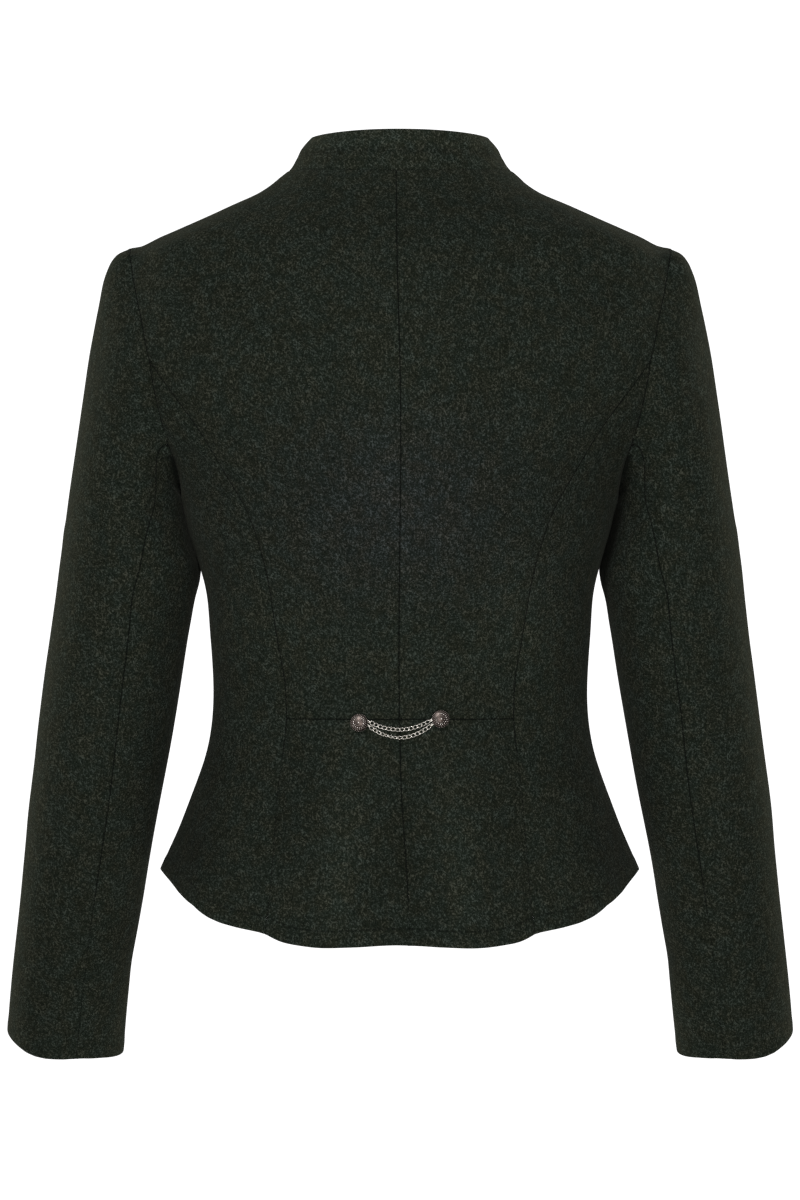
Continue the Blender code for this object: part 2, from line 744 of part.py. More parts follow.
def neck_points():
    """Points round the neckline, from the left front end over the back to the right front end."""
    front = front_neck_run()[:-1][::-1]
    left_back = back_neck_run(1)[::-1]
    right_back = back_neck_run(-1)[::-1]
    left = form(*joined(front, left_back).T)
    right = mirrored(form(*joined(front, right_back).T))
    return np.vstack([left, right[:-1][::-1]])


def add_collar():
    """A stand collar: it leans in most over the shoulders, and its front ends are rounded."""
    base = neck_points()
    along = np.gradient(base, axis=0)
    along /= np.linalg.norm(along, axis=1, keepdims=True)
    up = np.array([0, 0, 1.0]) - along[:, 2:] * along
    up[:, 0] *= np.clip(np.abs(base[:, 0]) / COLLAR_END_TURN, 0, 1)
    up /= np.linalg.norm(up, axis=1, keepdims=True)
    inward = np.cross(up, along)
    inward *= np.sign(np.sum(inward * (np.array([0, -0.01, 0]) - base), axis=1, keepdims=True))
    side = np.abs(base[:, 0:1]) / FRONT_NECKLINE[0].out
    lean = COLLAR_LEAN + COLLAR_SIDE_LEAN * side**2
    rise = up + lean * inward
    rise /= np.linalg.norm(rise, axis=1, keepdims=True)
    facing = up * lean - inward
    facing /= np.linalg.norm(facing, axis=1, keepdims=True)
    run = np.concatenate([[0], np.cumsum(np.linalg.norm(np.diff(base, axis=0), axis=1))])
    from_end = np.minimum(run, run[-1] - run)
    rows = []
    for part in COLLAR_PARTS:
        rounding = COLLAR_END_DROP * part**2 * np.clip(1 - from_end / COLLAR_END_RUN, 0, 1) ** 2
        height = COLLAR_GAP + (COLLAR_HEIGHT - COLLAR_GAP) * part - rounding
        bow = (COLLAR_BOW + COLLAR_SIDE_BOW * side**2) * math.sin(math.pi * part)
        rows.append(base + rise * height[:, None] + facing * bow)
    outside = np.array(rows).reshape(-1, 3)
    cells = grid_cells(len(rows), len(base))
    inside = outside - np.tile(facing, (len(rows), 1)) * COLLAR_WALL
    add_shell("collar", outside, inside, cells, loden)


def surface_at(across, height, front=False):
    """The point and the normal of the cloth at a place seen from behind or from the front."""
    angle = angle_at(across, height, front)
    reach = reach_of(height)
    return form(angle, reach), outward(angle, reach)


def add_button(name, point, normal, radius, lift):
    """A domed shank button, turned and set just clear of the cloth."""
    build = bmesh.new()
    size = [(row.radius * radius, row.height * radius) for row in BUTTON_PROFILE]
    profile = [(0, BUTTON_TOP * radius)] + size[::-1] + [(0, 0)]
    vertices = [build.verts.new((across, 0, height)) for across, height in profile]
    for start, end in zip(vertices, vertices[1:]):
        build.edges.new((start, end))
    mesh = bpy.data.meshes.new(name)
    build.to_mesh(mesh)
    build.free()
    button = new_object(name, mesh, antique_silver)
    turn = button.modifiers.new("turn", "SCREW")
    turn.steps = BUTTON_STEPS
    turn.render_steps = BUTTON_STEPS
    turn.use_merge_vertices = True
    turn.merge_threshold = BUTTON_MERGE
    button.rotation_mode = "QUATERNION"
    button.rotation_quaternion = Vector((0, 0, 1)).rotation_difference(Vector(normal))
    button.location = point + normal * lift


def add_back_buttons():
    for place in BACK_BUTTONS:
        point, normal = surface_at(place.across, place.height)
        add_button(place.name, point, normal, BACK_BUTTON_RADIUS, BACK_BUTTON_LIFT)


def add_front_buttons():
    heights = np.linspace(FRONT_BUTTON_FIRST, FRONT_BUTTON_LAST, FRONT_BUTTON_COUNT)
    for number, height in enumerate(heights, 1):
        point, normal = surface_at(0.0, height, front=True)
        add_button(f"front_button_{number}", point, normal, FRONT_BUTTON_RADIUS, SEAM_GAP)


def strand_route(strand):
    """A hanging strand: its sag follows a parabola below the line of its two ends."""
    part = np.linspace(0, 1, STRAND_POINTS)
    across = strand.left + (strand.right - strand.left) * part
    line = strand.left_height + (strand.right_height - strand.left_height) * part
    sag = (strand.left_height + strand.right_height) / 2 - strand.low_height
    heights = line - sag * 4 * part * (1 - part)
    lifted = []
    for x, z in zip(across, heights):
        point, normal = surface_at(x, z)
        lifted.append(point + normal * (STRAND_RADIUS + STRAND_LIFT))
    return lifted


def add_strand(strand):
    """One strand of the chain; its object's origin is on the line of its two ends, its hinge."""
    curve = bpy.data.curves.new(strand.name, "CURVE")
    curve.dimensions = "3D"
    curve.bevel_depth = STRAND_RADIUS
    curve.bevel_resolution = 2
    curve.use_fill_caps = True
    route = np.array(strand_route(strand))
    hinge = (route[0] + route[-1]) / 2
    spline = curve.splines.new("POLY")
    spline.points.add(len(route) - 1)
    for point, place in zip(spline.points, route):
        point.co = (*(place - hinge), 1)
    new_object(strand.name, curve, chain_silver).location = hinge


for leftover in list(bpy.data.objects):
    bpy.data.objects.remove(leftover)
jacket = bpy.data.collections.new("loden_jacket")
bpy.context.scene.collection.children.link(jacket)
loden = finish_material("loden", LODEN)
antique_silver = finish_material("antique_silver", ANTIQUE_SILVER)
chain_silver = finish_material("chain_silver", CHAIN_SILVER)

for side, side_name in ((1, "left"), (-1, "right")):
    add_back_upper(f"back_upper_{side_name}", side)
    add_back_peplum(f"back_peplum_{side_name}", side)
    add_side_back(f"side_back_{side_name}", side)
    add_front(f"front_{side_name}", side, under_lap if side > 0 else None)
    add_sleeve(side, side_name)
add_collar()
add_back_buttons()
add_front_buttons()
for strand in STRANDS:
    add_strand(strand)
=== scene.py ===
"""The looks of a fitted loden jacket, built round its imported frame.

Metres, +Z up, the back of the jacket towards +Y. Each cloth piece starts as the outside skin of
its CAD panel. It is made fine, its seams, folds and hems are pressed in, and it gets its wall.
"""

import math
from collections import namedtuple

import bmesh
import bpy
import numpy as np
from mathutils import Matrix, Vector
from mathutils.kdtree import KDTree


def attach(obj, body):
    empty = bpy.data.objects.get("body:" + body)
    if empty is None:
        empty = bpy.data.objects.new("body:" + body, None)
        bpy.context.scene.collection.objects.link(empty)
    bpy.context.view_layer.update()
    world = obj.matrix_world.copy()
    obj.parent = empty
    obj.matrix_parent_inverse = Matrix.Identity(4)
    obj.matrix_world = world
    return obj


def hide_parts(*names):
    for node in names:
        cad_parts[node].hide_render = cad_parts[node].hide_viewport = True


SIDES = {"left": 1, "right": -1}

# Cloth
WALL = 0.0022
COLLAR_WALL = 0.003
HEM_WALL = 0.004
SHELL_BEND = math.radians(40)
SHARP_CORNER = math.radians(28)
QUAD_BEND = math.radians(60)
QUAD_TRIES = (2.0, 1.5, 1.2, 1.0, 0.8, 0.5)
FINE_LEVELS = 3
FIT_LEVELS = 2
FIT_ROUNDS = 3
EDGE_STRIP = 0.0009
EDGE_ROUND = 0.0006
EDGE_NEAR = 0.003
SHARP_EDGE = math.radians(50)
SAME_POINT = 0.000001
FAR = 1.0

# How rims are told apart: level or upright, by the front opening, at a cuff, at the hem
LEVEL_RIM = 0.62
MIDDLE_REACH = 0.016
CUFF_BELOW = -0.61
HEM_BELOW = -0.5

# The middle of the hollow in the body, and of the left sleeve: at the elbow, and how far it moves
# on the way to the cuff and to the shoulder
BODY_DEPTH = -0.01
ELBOW_OUT = 0.203
ELBOW_DEPTH = -0.006
ELBOW_HEIGHT = -0.25
CUFF_RUN = 0.4
CUFF_OUT = 0.05
CUFF_FORWARD = 0.036
SHOULDER_RUN = 0.2
SHOULDER_IN = 0.004

# Where panels meet: how far a rim looks for its neighbour, and how far in it draws the cloth
SEAM_REACH = 0.003
SEAM_FADE = 0.01
PIN_REACH = 0.016
RIM_SAMPLES = 5
JOIN_ROUNDS = 4

# Seams: a narrow valley between two faint welts, where the seam allowances lie underneath
SEAM_DEPTH = 0.0006
SEAM_WIDTH = 0.0008
DIP_DEPTH = 0.0004
DIP_WIDTH = 0.005
WELT_HEIGHT = 0.0003
WELT_PLACE = 0.0095
WELT_WIDTH = 0.0035
EDGE_TUCK = 0.0003
FAINT_SEAM = 0.0003
FAINTEST_SEAM = 0.0005
CENTRE_FADE = -0.525
CENTRE_RUN = 0.02
SLEEVE_RUN = 0.04
PRINCESS_OUT = 0.05
PRINCESS_TOP = -0.43
# The roll line of the collar: its place, width and depth, and the painted shade along it
ROLL_PLACE = 0.0153
ROLL_WIDTH = 0.003
ROLL_DEPTH = 0.0011
ROLL_PAINTED_SHADE = 0.24
# Painted light on the top band of the collar and how it fades, and painted light over all of it
BAND_PAINTED_LIGHT = 0.16
BAND_FADE = 0.002
COLLAR_PAINTED_LIGHT = 0.17
DART_HEIGHTS = (-0.525, -0.405, -0.285)
DART_ACROSS = (0.09, 0.078, 0.086)
HEM_LINE = 0.012
HEM_STEP = 0.003
HEM_SWELL = 0.0003

Cut = namedtuple("Cut", "node width length area")
CUTS = (
    Cut("back_upper", 0.215, 0.48, 0.0655),
    Cut("back_peplum", 0.125, 0.165, 0.016),
    Cut("side_back", 0.115, 0.42, 0.0378),
    Cut("front", 0.27, 0.6, 0.1175),
    Cut("sleeve_top", 0.25, 0.605, 0.111),
    Cut("sleeve_under", 0.13, 0.47, 0.0528),
)
COLLAR_CUT = Cut("collar", 0.031, 0.47, None)

# Soft folds and hollows, by the side that shows them. Each row is a line: the place across and
# the height of its two ends, its width, and how far it stands out
FOLDS = {
    "back": (
        (0.045, -0.425, 0.062, -0.56, 0.02, 0.0016),
        (-0.044, -0.43, -0.06, -0.56, 0.019, 0.0018),
        (0.01, -0.44, 0.014, -0.56, 0.016, -0.0016),
        (-0.012, -0.45, -0.02, -0.56, 0.015, -0.0013),
        (0.078, -0.3, 0.083, -0.395, 0.012, -0.0011),
        (-0.079, -0.31, -0.083, -0.398, 0.012, -0.001),
        (0.104, -0.385, 0.07, -0.372, 0.009, -0.0009),
        (-0.106, -0.38, -0.072, -0.37, 0.009, -0.0008),
        (0.125, -0.405, 0.092, -0.398, 0.008, 0.0007),
        (-0.128, -0.408, -0.094, -0.4, 0.008, 0.0007),
        (0.165, -0.13, 0.145, -0.215, 0.012, -0.0012),
        (-0.166, -0.128, -0.147, -0.22, 0.012, -0.0013),
        (0.152, -0.235, 0.12, -0.3, 0.012, 0.0011),
        (-0.15, -0.238, -0.118, -0.305, 0.012, 0.001),
        (0.06, -0.052, 0.12, -0.075, 0.014, -0.0008),
        (-0.058, -0.05, -0.118, -0.073, 0.014, -0.0008),
    ),
    "front": (
        (0.085, -0.3, 0.092, -0.4, 0.015, -0.0016),
        (-0.084, -0.305, -0.092, -0.4, 0.015, -0.0015),
        (0.15, -0.15, 0.125, -0.235, 0.012, -0.0013),
        (-0.151, -0.146, -0.127, -0.232, 0.012, -0.0014),
        (0.122, -0.345, 0.085, -0.362, 0.009, -0.0008),
        (-0.12, -0.35, -0.084, -0.365, 0.009, -0.0009),
    ),
}

# The same for each sleeve, by the turn round the arm in degrees: 0 outside, 90 behind
SLEEVE_FOLDS = {
    "left": (
        (150, -0.262, 205, -0.33, 0.008, -0.0016),
        (165, -0.3, 225, -0.362, 0.009, -0.0014),
        (105, -0.235, 150, -0.285, 0.008, -0.0012),
        (200, -0.44, 268, -0.452, 0.009, -0.0018),
        (215, -0.462, 285, -0.478, 0.008, -0.0016),
        (205, -0.421, 262, -0.418, 0.008, -0.0013),
        (30, -0.41, 95, -0.47, 0.014, 0.0012),
        (60, -0.13, 80, -0.215, 0.012, -0.001),
        (120, -0.56, 170, -0.6, 0.012, -0.0009),
    ),
    "right": (
        (148, -0.266, 208, -0.336, 0.009, -0.0015),
        (168, -0.308, 222, -0.357, 0.008, -0.0015),
        (108, -0.238, 148, -0.29, 0.008, -0.0011),
        (198, -0.436, 265, -0.456, 0.009, -0.0017),
        (218, -0.466, 280, -0.474, 0.009, -0.0017),
        (208, -0.416, 258, -0.422, 0.007, -0.0012),
        (35, -0.415, 98, -0.462, 0.013, 0.0011),
        (62, -0.125, 84, -0.22, 0.012, -0.0011),
        (118, -0.566, 172, -0.592, 0.012, -0.0009),
    ),
}
# Painted light and shade on the lower sleeves: lighter towards the inside of the arm, darker behind
SLEEVE_PAINTED_LIGHT = (
    (160, -0.45, 160, -0.6, 0.03, 0.16),
    (90, -0.48, 90, -0.68, 0.07, -0.06),
)
SLEEVE_RADIUS = 0.05
BODY_RADIUS = 0.15
FOLD_ENDS = 0.72
# Painted light on folds by how far they stand out, and painted shade in the hollows
FOLD_PAINTED_LIGHT = 25.0
FACING_FADE = 0.25

# Painted light and shade on the nap, by a share: light on folds that stand out, shade in hollows
PAINTED_LIGHT_AND_SHADE = (
    (0.031, -0.423, 0.047, -0.563, 0.015, 0.16),
    (-0.029, -0.423, -0.047, -0.563, 0.016, 0.16),
    (0.042, -0.493, 0.048, -0.563, 0.009, 0.12),
    (-0.042, -0.493, -0.048, -0.563, 0.009, 0.12),
    (0.001, -0.443, -0.003, -0.553, 0.011, -0.09),
    (0.068, -0.423, 0.086, -0.503, 0.016, -0.15),
    (-0.08, -0.423, -0.088, -0.493, 0.013, -0.07),
    (0.128, -0.418, 0.15, -0.473, 0.022, -0.22),
    (-0.124, -0.418, -0.148, -0.473, 0.022, -0.16),
    (0.148, -0.468, 0.162, -0.528, 0.024, -0.34),
    (-0.148, -0.468, -0.162, -0.528, 0.024, -0.3),
    (0.088, -0.278, 0.084, -0.383, 0.036, 0.16),
    (-0.09, -0.278, -0.086, -0.383, 0.036, 0.28),
    (0.0, -0.083, 0.002, -0.383, 0.036, 0.12),
    (-0.075, -0.045, 0.075, -0.047, 0.024, -0.13),
    (-0.06, 0.001, 0.06, 0.001, 0.01, 0.16),
    (0.14, -0.078, 0.15, -0.118, 0.034, -0.08),
    (-0.14, -0.078, -0.15, -0.118, 0.034, -0.05),
    (0.138, -0.363, 0.136, -0.433, 0.014, -0.14),
    (-0.138, -0.363, -0.136, -0.433, 0.014, -0.12),
)
# The middle of the back looks a little cooler than the rest
COOL_TONES = ((0.002, -0.183, 0.002, -0.323, 0.085, 1.0),)

# Painted shade where the sleeve lies against the body: a soft darkening and a dark line
TOUCH_TOP = -0.212
TOUCH_LOW = -0.36
TOUCH_DEEP = -0.23
TOUCH_RUN = 0.045
TOUCH_REACHES = {"sleeve": 0.0105, "body": 0.007}
TOUCH_SHADE = 0.94
TOUCH_LESS = 0.5

# Fullness: how far the plain form stands out of the panels at each place, which is a height or,
# at the shoulder, a place across. round_by is how far its corners are rounded off
Swells = namedtuple("Swells", "round_by places rises")
BODY_SWELLS = Swells(
    0.008,
    (-0.56, -0.475, -0.43, -0.41, -0.37, -0.341, -0.31, -0.24, -0.2),
    (0.001, 0.0014, 0.0006, 0.0016, 0.0026, 0.0025, 0.0006, 0.0018, 0.0),
)
SLEEVE_SWELLS = Swells(
    0.008,
    (-0.564, -0.5, -0.475, -0.4, -0.35, -0.318, -0.251, -0.184, -0.14, -0.117, -0.095, -0.08),
    (0.0003, -0.0002, 0.0006, 0.0012, 0.0006, 0.0012, 0.002, 0.001, -0.0007, -0.002, -0.0022, 0.0),
)
INNER_SWELLS = Swells(
    0.006,
    (-0.65, -0.62, -0.59, -0.56, -0.54, -0.4, -0.343, -0.315, -0.296, -0.266, -0.246, -0.226),
    (-0.001, -0.0014, -0.0018, -0.0006, 0.0, 0.0, 0.0005, 0.0013, 0.001, 0.0008, 0.0018, 0.0),
)
SHOULDER_SWELLS = Swells(
    0.003,
    (0.09, 0.117, 0.16, 0.178, 0.186, 0.192, 0.1967, 0.2012, 0.2056, 0.212, 0.218, 0.225),
    (0.0003, 0.0013, 0.0022, 0.0021, 0.0011, 0.0003, 0.0011, 0.0031, 0.0038, 0.0037, 0.001, 0.0),
)
COLLAR_SWELLS = Swells(
    0.0015,
    (-0.006, 0.0006, 0.0036, 0.0065, 0.0095, 0.0125, 0.015, 0.018, 0.0207, 0.0229, 0.026),
    (0.0, -0.0007, -0.001, -0.0003, 0.0008, 0.0019, 0.0022, 0.0013, 0.0003, -0.0011, -0.0025),
)
SWELL_SAMPLES = 5
SHOULDER_LOW = -0.09
SHOULDER_FADE = 0.02
FULL_REACH = 0.008
COLLAR_RISE = 0.0015
COLLAR_BACK = 0.07
COLLAR_TOP = 0.022
# The middle height of the collar at each depth, from its front to its back
COLLAR_DEPTHS = (-0.0775, -0.0714, -0.0607, -0.046, -0.026, 0.0, 0.05)
COLLAR_MIDDLES = (-0.06, -0.053, -0.04, -0.0215, -0.0035, 0.012, 0.008)

# How far a cuff hangs below its panel, by the turn away from the outside of the arm in degrees
CUFF_TURNS = (0, 20, 37, 51, 62, 74, 84, 99, 115, 135)
CUFF_DROPS = (0.0006, 0.0027, 0.0052, 0.0072, 0.0076, 0.0069, 0.0056, 0.0034, 0.0015, 0.0004)
HANG_REACH = 0.06
# How far the hem of the back hangs, by the place across
HEM_PLACES = (0.0, 0.028, 0.055, 0.078, 0.1, 0.117, 0.129, 0.139, 0.15, 0.162, 0.175)
HEM_DROPS = (0.0021, 0.0021, 0.0013, 0.0005, 0.0002, 0.0012, 0.0013, 0.0002, -0.0023, 0.0005, 0.0)
HEM_DEPTH = 0.03

# A slight unevenness all over the cloth: waves by their pull along each axis, shift and height
WAVES = (
    (31.0, 12.0, 17.0, 0.4, 0.0003),
    (-19.0, 25.0, 38.0, 1.9, 0.00025),
    (47.0, -33.0, 9.0, 3.1, 0.00018),
    (12.0, 41.0, -52.0, 4.4, 0.00016),
    (70.0, 20.0, 61.0, 5.2, 0.0001),
)

# The nap: pale hairs that lie every way, over clumps, clouds and patches of mixed fibre
HAIR_LEANS = (0.0, 0.85, -0.85, 1.6)
HAIR_STRETCH = 2.4
HAIR_SCALE = 840.0
CLUMP_SCALE = 820.0
CLOUD_SCALE = 160.0
PATCH_SCALE = 75.0
GROUND_STOPS = (
    (0.3, (0.0036, 0.0052, 0.0035)),
    (0.5, (0.0078, 0.0104, 0.007)),
    (0.7, (0.013, 0.0163, 0.0115)),
)
HAIR_COLOR = (0.0425, 0.0488, 0.0388, 1)
WARM_TINT = (1.055, 0.98, 0.915, 1)
COLD_TINT = (0.94, 1.02, 1.06, 1)
COOL_BACK = (1.06, 1.01, 1.24, 1)
# Dark of the hem's stitches, and painted shade along seams, darts and where sleeve meets body
STITCH_AND_PAINTED_SHADE = (0.003, 0.0038, 0.003, 1)
# Half the length from one stitch of the hem to the next
STITCH_PITCH = 0.0024

# Silver: the hollows of a button from dark to pale, its beads, the way its painted highlight
# faces, the tints of painted shade and of painted highlight; then the two shades of the chain
HOLLOW_DARK = (0.045, 0.034, 0.029, 1)
HOLLOW_PALE = (0.115, 0.09, 0.08, 1)
BEAD_SILVER = (0.56, 0.49, 0.455, 1)
HIGHLIGHT_SIDE = (0.55, 0.0, 0.83)
PAINTED_SHADE_TINT = (0.41, 0.39, 0.38, 1)
PAINTED_HIGHLIGHT_TINT = (2.1, 2.16, 2.2, 1)
CHAIN_DARK = (0.76, 0.71, 0.64, 1)
CHAIN_BRIGHT = (1.0, 0.96, 0.89, 1)

# Camera and lights
CAMERA_PLACE = (0.0, 2.9, -0.3189)
CAMERA_LENS = 116.8
# The turn of the camera, and of the backdrop
UPRIGHT = (math.pi / 2, 0, math.pi)
FLOOR_HEIGHT = -1.45
FLOOR_SIZE = 4.4
BACKDROP_PLACE = -9.0
BACKDROP_SIZE = 5.0
WORLD_LIGHT = 0.26
LAMP_AIM = (0.0, 0.0, -0.3)
Lamp = namedtuple("Lamp", "name place size power color")
WHITE = (1.0, 1.0, 1.0)
WARM = (1.0, 0.95, 0.7)
LAMPS = (
    Lamp("key_soft_box", (-0.4, 3.3, -0.8), 1.3, 49, WHITE),
    Lamp("top_soft_box", (0.6, 2.1, 1.5), 0.35, 34, WHITE),
    Lamp("left_soft_box", (2.4, -1.3, 0.2), 1.0, 34, WARM),
    Lamp("right_soft_box", (-2.4, -1.3, 0.2), 1.0, 34, WARM),
)


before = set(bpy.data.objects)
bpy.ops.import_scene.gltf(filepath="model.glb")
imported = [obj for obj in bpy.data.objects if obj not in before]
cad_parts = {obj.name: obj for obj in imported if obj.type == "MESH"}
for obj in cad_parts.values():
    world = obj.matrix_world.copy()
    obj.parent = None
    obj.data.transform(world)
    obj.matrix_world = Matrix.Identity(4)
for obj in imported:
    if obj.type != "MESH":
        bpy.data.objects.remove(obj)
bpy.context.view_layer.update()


def start_clear():
    bpy.ops.object.select_all(action="DESELECT")


def activate(piece):
    start_clear()
    piece.select_set(True)
    bpy.context.view_layer.objects.active = piece


def apply_modifier(piece, kind, **settings):
    modifier = piece.modifiers.new(kind.lower(), kind)
    for key, value in settings.items():
        setattr(modifier, key, value)
    activate(piece)
    bpy.ops.object.modifier_apply(modifier=modifier.name)


def new_piece(name, data):
    piece = bpy.data.objects.new(name, data)
    bpy.context.scene.collection.objects.link(piece)
    return piece


def unit(value):
    """The value kept from 0 to 1."""
    return np.clip(value, 0, 1)


def bump_curve(value):
    """A smooth hump: 1 at 0, and 0 past 1 either way."""
    value = unit(np.abs(value))
    return (1 - value * value) ** 2


def bell(value):
    """1 at 0, and fading away either way."""
    return np.exp(-(value**2))


def side_of(node):
    return "right" if node.endswith("right") else "left"


def sleeve_axis(heights):
    """The middle of the left sleeve at these heights: across and in depth."""
    low = unit((ELBOW_HEIGHT - heights) / CUFF_RUN)
    high = unit((heights - ELBOW_HEIGHT) / SHOULDER_RUN)
    return ELBOW_OUT + CUFF_OUT * low - SHOULDER_IN * high, ELBOW_DEPTH - CUFF_FORWARD * low


def middle_of(node, places):
    """Points on the middle line of the hollow that a panel goes round, level with each place."""
    across = np.zeros(len(places))
    depth = np.full(len(places), BODY_DEPTH)
    if node.startswith("sleeve"):
        across, depth = sleeve_axis(places[:, 2])
        across = across * SIDES[side_of(node)]
    return np.stack([across, depth, places[:, 2]], axis=1)


def smooth_shells(build):
    """The faces of a mesh in groups that meet without a sharp bend, the largest group first."""
    left = set(build.faces)
    groups = []
    while left:
        seed = left.pop()
        group = {seed}
        waiting = [seed]
        while waiting:
            for edge in waiting.pop().edges:
                if len(edge.link_faces) != 2 or edge.calc_face_angle(0) > SHELL_BEND:
                    continue
                for face in edge.link_faces:
                    if face in left:
                        left.remove(face)
                        group.add(face)
                        waiting.append(face)
        groups.append(group)
    return sorted(groups, key=lambda group: -sum(face.calc_area() for face in group))


def facing_out(node, group):
    faces = list(group)
    centres = np.array([face.calc_center_median() for face in faces])
    areas = np.array([face.calc_area() for face in faces])
    normals = np.array([face.normal for face in faces])
    return float((areas * np.sum(normals * (centres - middle_of(node, centres)), axis=1)).sum())


def as_quads(build):
    """A copy of a mesh whose triangles are joined in pairs, as many of them as can be."""
    tries = []
    for influence in QUAD_TRIES:
        copy = build.copy()
        bmesh.ops.join_triangles(
            copy,
            faces=copy.faces,
            angle_face_threshold=QUAD_BEND,
            angle_shape_threshold=math.pi,
            topology_influence=influence,
        )
        tries.append((sum(len(face.verts) == 3 for face in copy.faces), len(tries), copy))
    return min(tries)[2]


def outer_skin(node, name):
    """The outside skin of a cloth node, as an open mesh of quads whose corners stay sharp."""
    build = bmesh.new()
    build.from_mesh(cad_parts[node].data)
    bmesh.ops.remove_doubles(build, verts=build.verts, dist=SAME_POINT)
    outer = max(smooth_shells(build)[:2], key=lambda group: facing_out(node, group))
    inner = [face for face in build.faces if face not in outer]
    bmesh.ops.delete(build, geom=inner, context="FACES")
    skin = as_quads(build)
    crease = skin.verts.layers.float.new("crease_vert")
    for vertex in skin.verts:
        rim = [edge for edge in vertex.link_edges if edge.is_boundary]
        ways = [edge.other_vert(vertex).co - vertex.co for edge in rim]
        if len(ways) == 2 and ways[0].angle(-ways[1]) > SHARP_CORNER:
            vertex[crease] = 1.0
    mesh = bpy.data.meshes.new(name)
    skin.to_mesh(mesh)
    piece = new_piece(name, mesh)
    fit_through(piece)
    make_fine(piece, FINE_LEVELS)
    return piece


def make_fine(piece, levels):
    apply_modifier(
        piece, "SUBSURF", levels=levels, render_levels=levels, boundary_smooth="PRESERVE_CORNERS"
    )


def fit_through(piece):
    """Moves the points of a coarse skin so that its smooth surface runs through where they were."""
    wanted = [vertex.co.copy() for vertex in piece.data.vertices]
    for _ in range(FIT_ROUNDS):
        trial = new_piece("trial", piece.data.copy())
        make_fine(trial, FIT_LEVELS)
        for vertex, reached, place in zip(piece.data.vertices, trial.data.vertices, wanted):
            vertex.co += place - reached.co
        bpy.data.objects.remove(trial)


def rim_kind(node, place, along):
    """What an open edge of a panel is: a seam, a hem or a faced edge."""
    level = abs(along.z) < LEVEL_RIM
    middle = abs(place.x) < MIDDLE_REACH and place.y < 0
    if node == "collar":
        return "seam" if place_below_collar(place) and not (middle and not level) else "edge"
    if node.startswith("sleeve"):
        return "hem" if level and place.z < CUFF_BELOW else "seam"
    if level and place.z < HEM_BELOW:
        return "hem"
    if node.startswith("front") and middle and not level:
        return "edge"
    return "seam"


def place_below_collar(place):
    """True for the lower rim of the collar, which dips towards the front."""
    return place.z < np.interp(place.y, COLLAR_DEPTHS, COLLAR_MIDDLES)


def part_of(node):
    """Panels of one part share their folds; a sleeve, the body and the collar don't."""
    if node.startswith("sleeve"):
        return node.replace("top_", "").replace("under_", "")
    return "collar" if node == "collar" else "body"


class Panel:
    """The outside skin of one cloth piece, while its seams, hems and folds are pressed in."""

    def __init__(self, node):
        self.node = node
        self.part = part_of(node)
        self.piece = outer_skin(node, f"cloth_{node}")
        self.build = bmesh.new()
        self.build.from_mesh(self.piece.data)
        bmesh.ops.inset_region(
            self.build,
            faces=self.build.faces[:],
            thickness=EDGE_STRIP,
            use_boundary=True,
            use_even_offset=True,
        )
        self.build.verts.index_update()
        self.build.normal_update()
        self.places = np.array([vertex.co for vertex in self.build.verts])
        self.normals = np.array([vertex.normal for vertex in self.build.verts])
        self.rims = {"seam": [], "hem": [], "edge": []}
        for edge in self.build.edges:
            if edge.is_boundary:
                start, end = edge.verts
                along = (end.co - start.co).normalized()
                kind = rim_kind(node, (start.co + end.co) / 2, along)
                self.rims[kind].append((start.index, end.index))
        self.rim = np.unique(self.rims["seam"])

    def samples(self, kind):
        """Places and normals close together along the rims of one kind."""
        if not self.rims[kind]:
            return np.zeros((0, 3)), np.zeros((0, 3))
        start, end = np.array(self.rims[kind]).T
        share = np.linspace(0, 1, RIM_SAMPLES)[:, None, None]
        places = self.places[start] * (1 - share) + self.places[end] * share
        normals = self.normals[start] * (1 - share) + self.normals[end] * share
        return places.reshape(-1, 3), normals.reshape(-1, 3)

    def away_from(self, places):
        """How far each point of the panel is from the nearest of these places, and which it is."""
        if not len(places):
            return np.full(len(self.places), FAR), np.zeros(len(self.places), int)
        tree = search_tree(places)
        found = [tree.find(place) for place in self.places]
        return np.array([one[2] for one in found]), np.array([one[1] for one in found])


def search_tree(places):
    tree = KDTree(len(places))
    for number, place in enumerate(places):
        tree.insert(place, number)
    tree.balance()
    return tree


def draw_rims(panels):
    """Draws every seam rim towards its neighbours, by one round."""
    samples = {panel.node: panel.samples("seam") for panel in panels}
    trees = {node: search_tree(found[0]) for node, found in samples.items()}
    for panel in panels:
        others = [other.node for other in panels if other is not panel]
        for number in panel.rim:
            total = 1.0
            place = panel.places[number].copy()
            normal = panel.normals[number].copy()
            for node in others:
                nearest, distance = trees[node].find(panel.places[number])[1:]
                if distance < SEAM_REACH:
                    share = (1 - (distance / SEAM_REACH) ** 2) ** 2
                    total += share
                    place += share * samples[node][0][nearest]
                    normal += share * samples[node][1][nearest]
            panel.places[number] = place / total
            panel.normals[number] = normal / np.linalg.norm(normal)


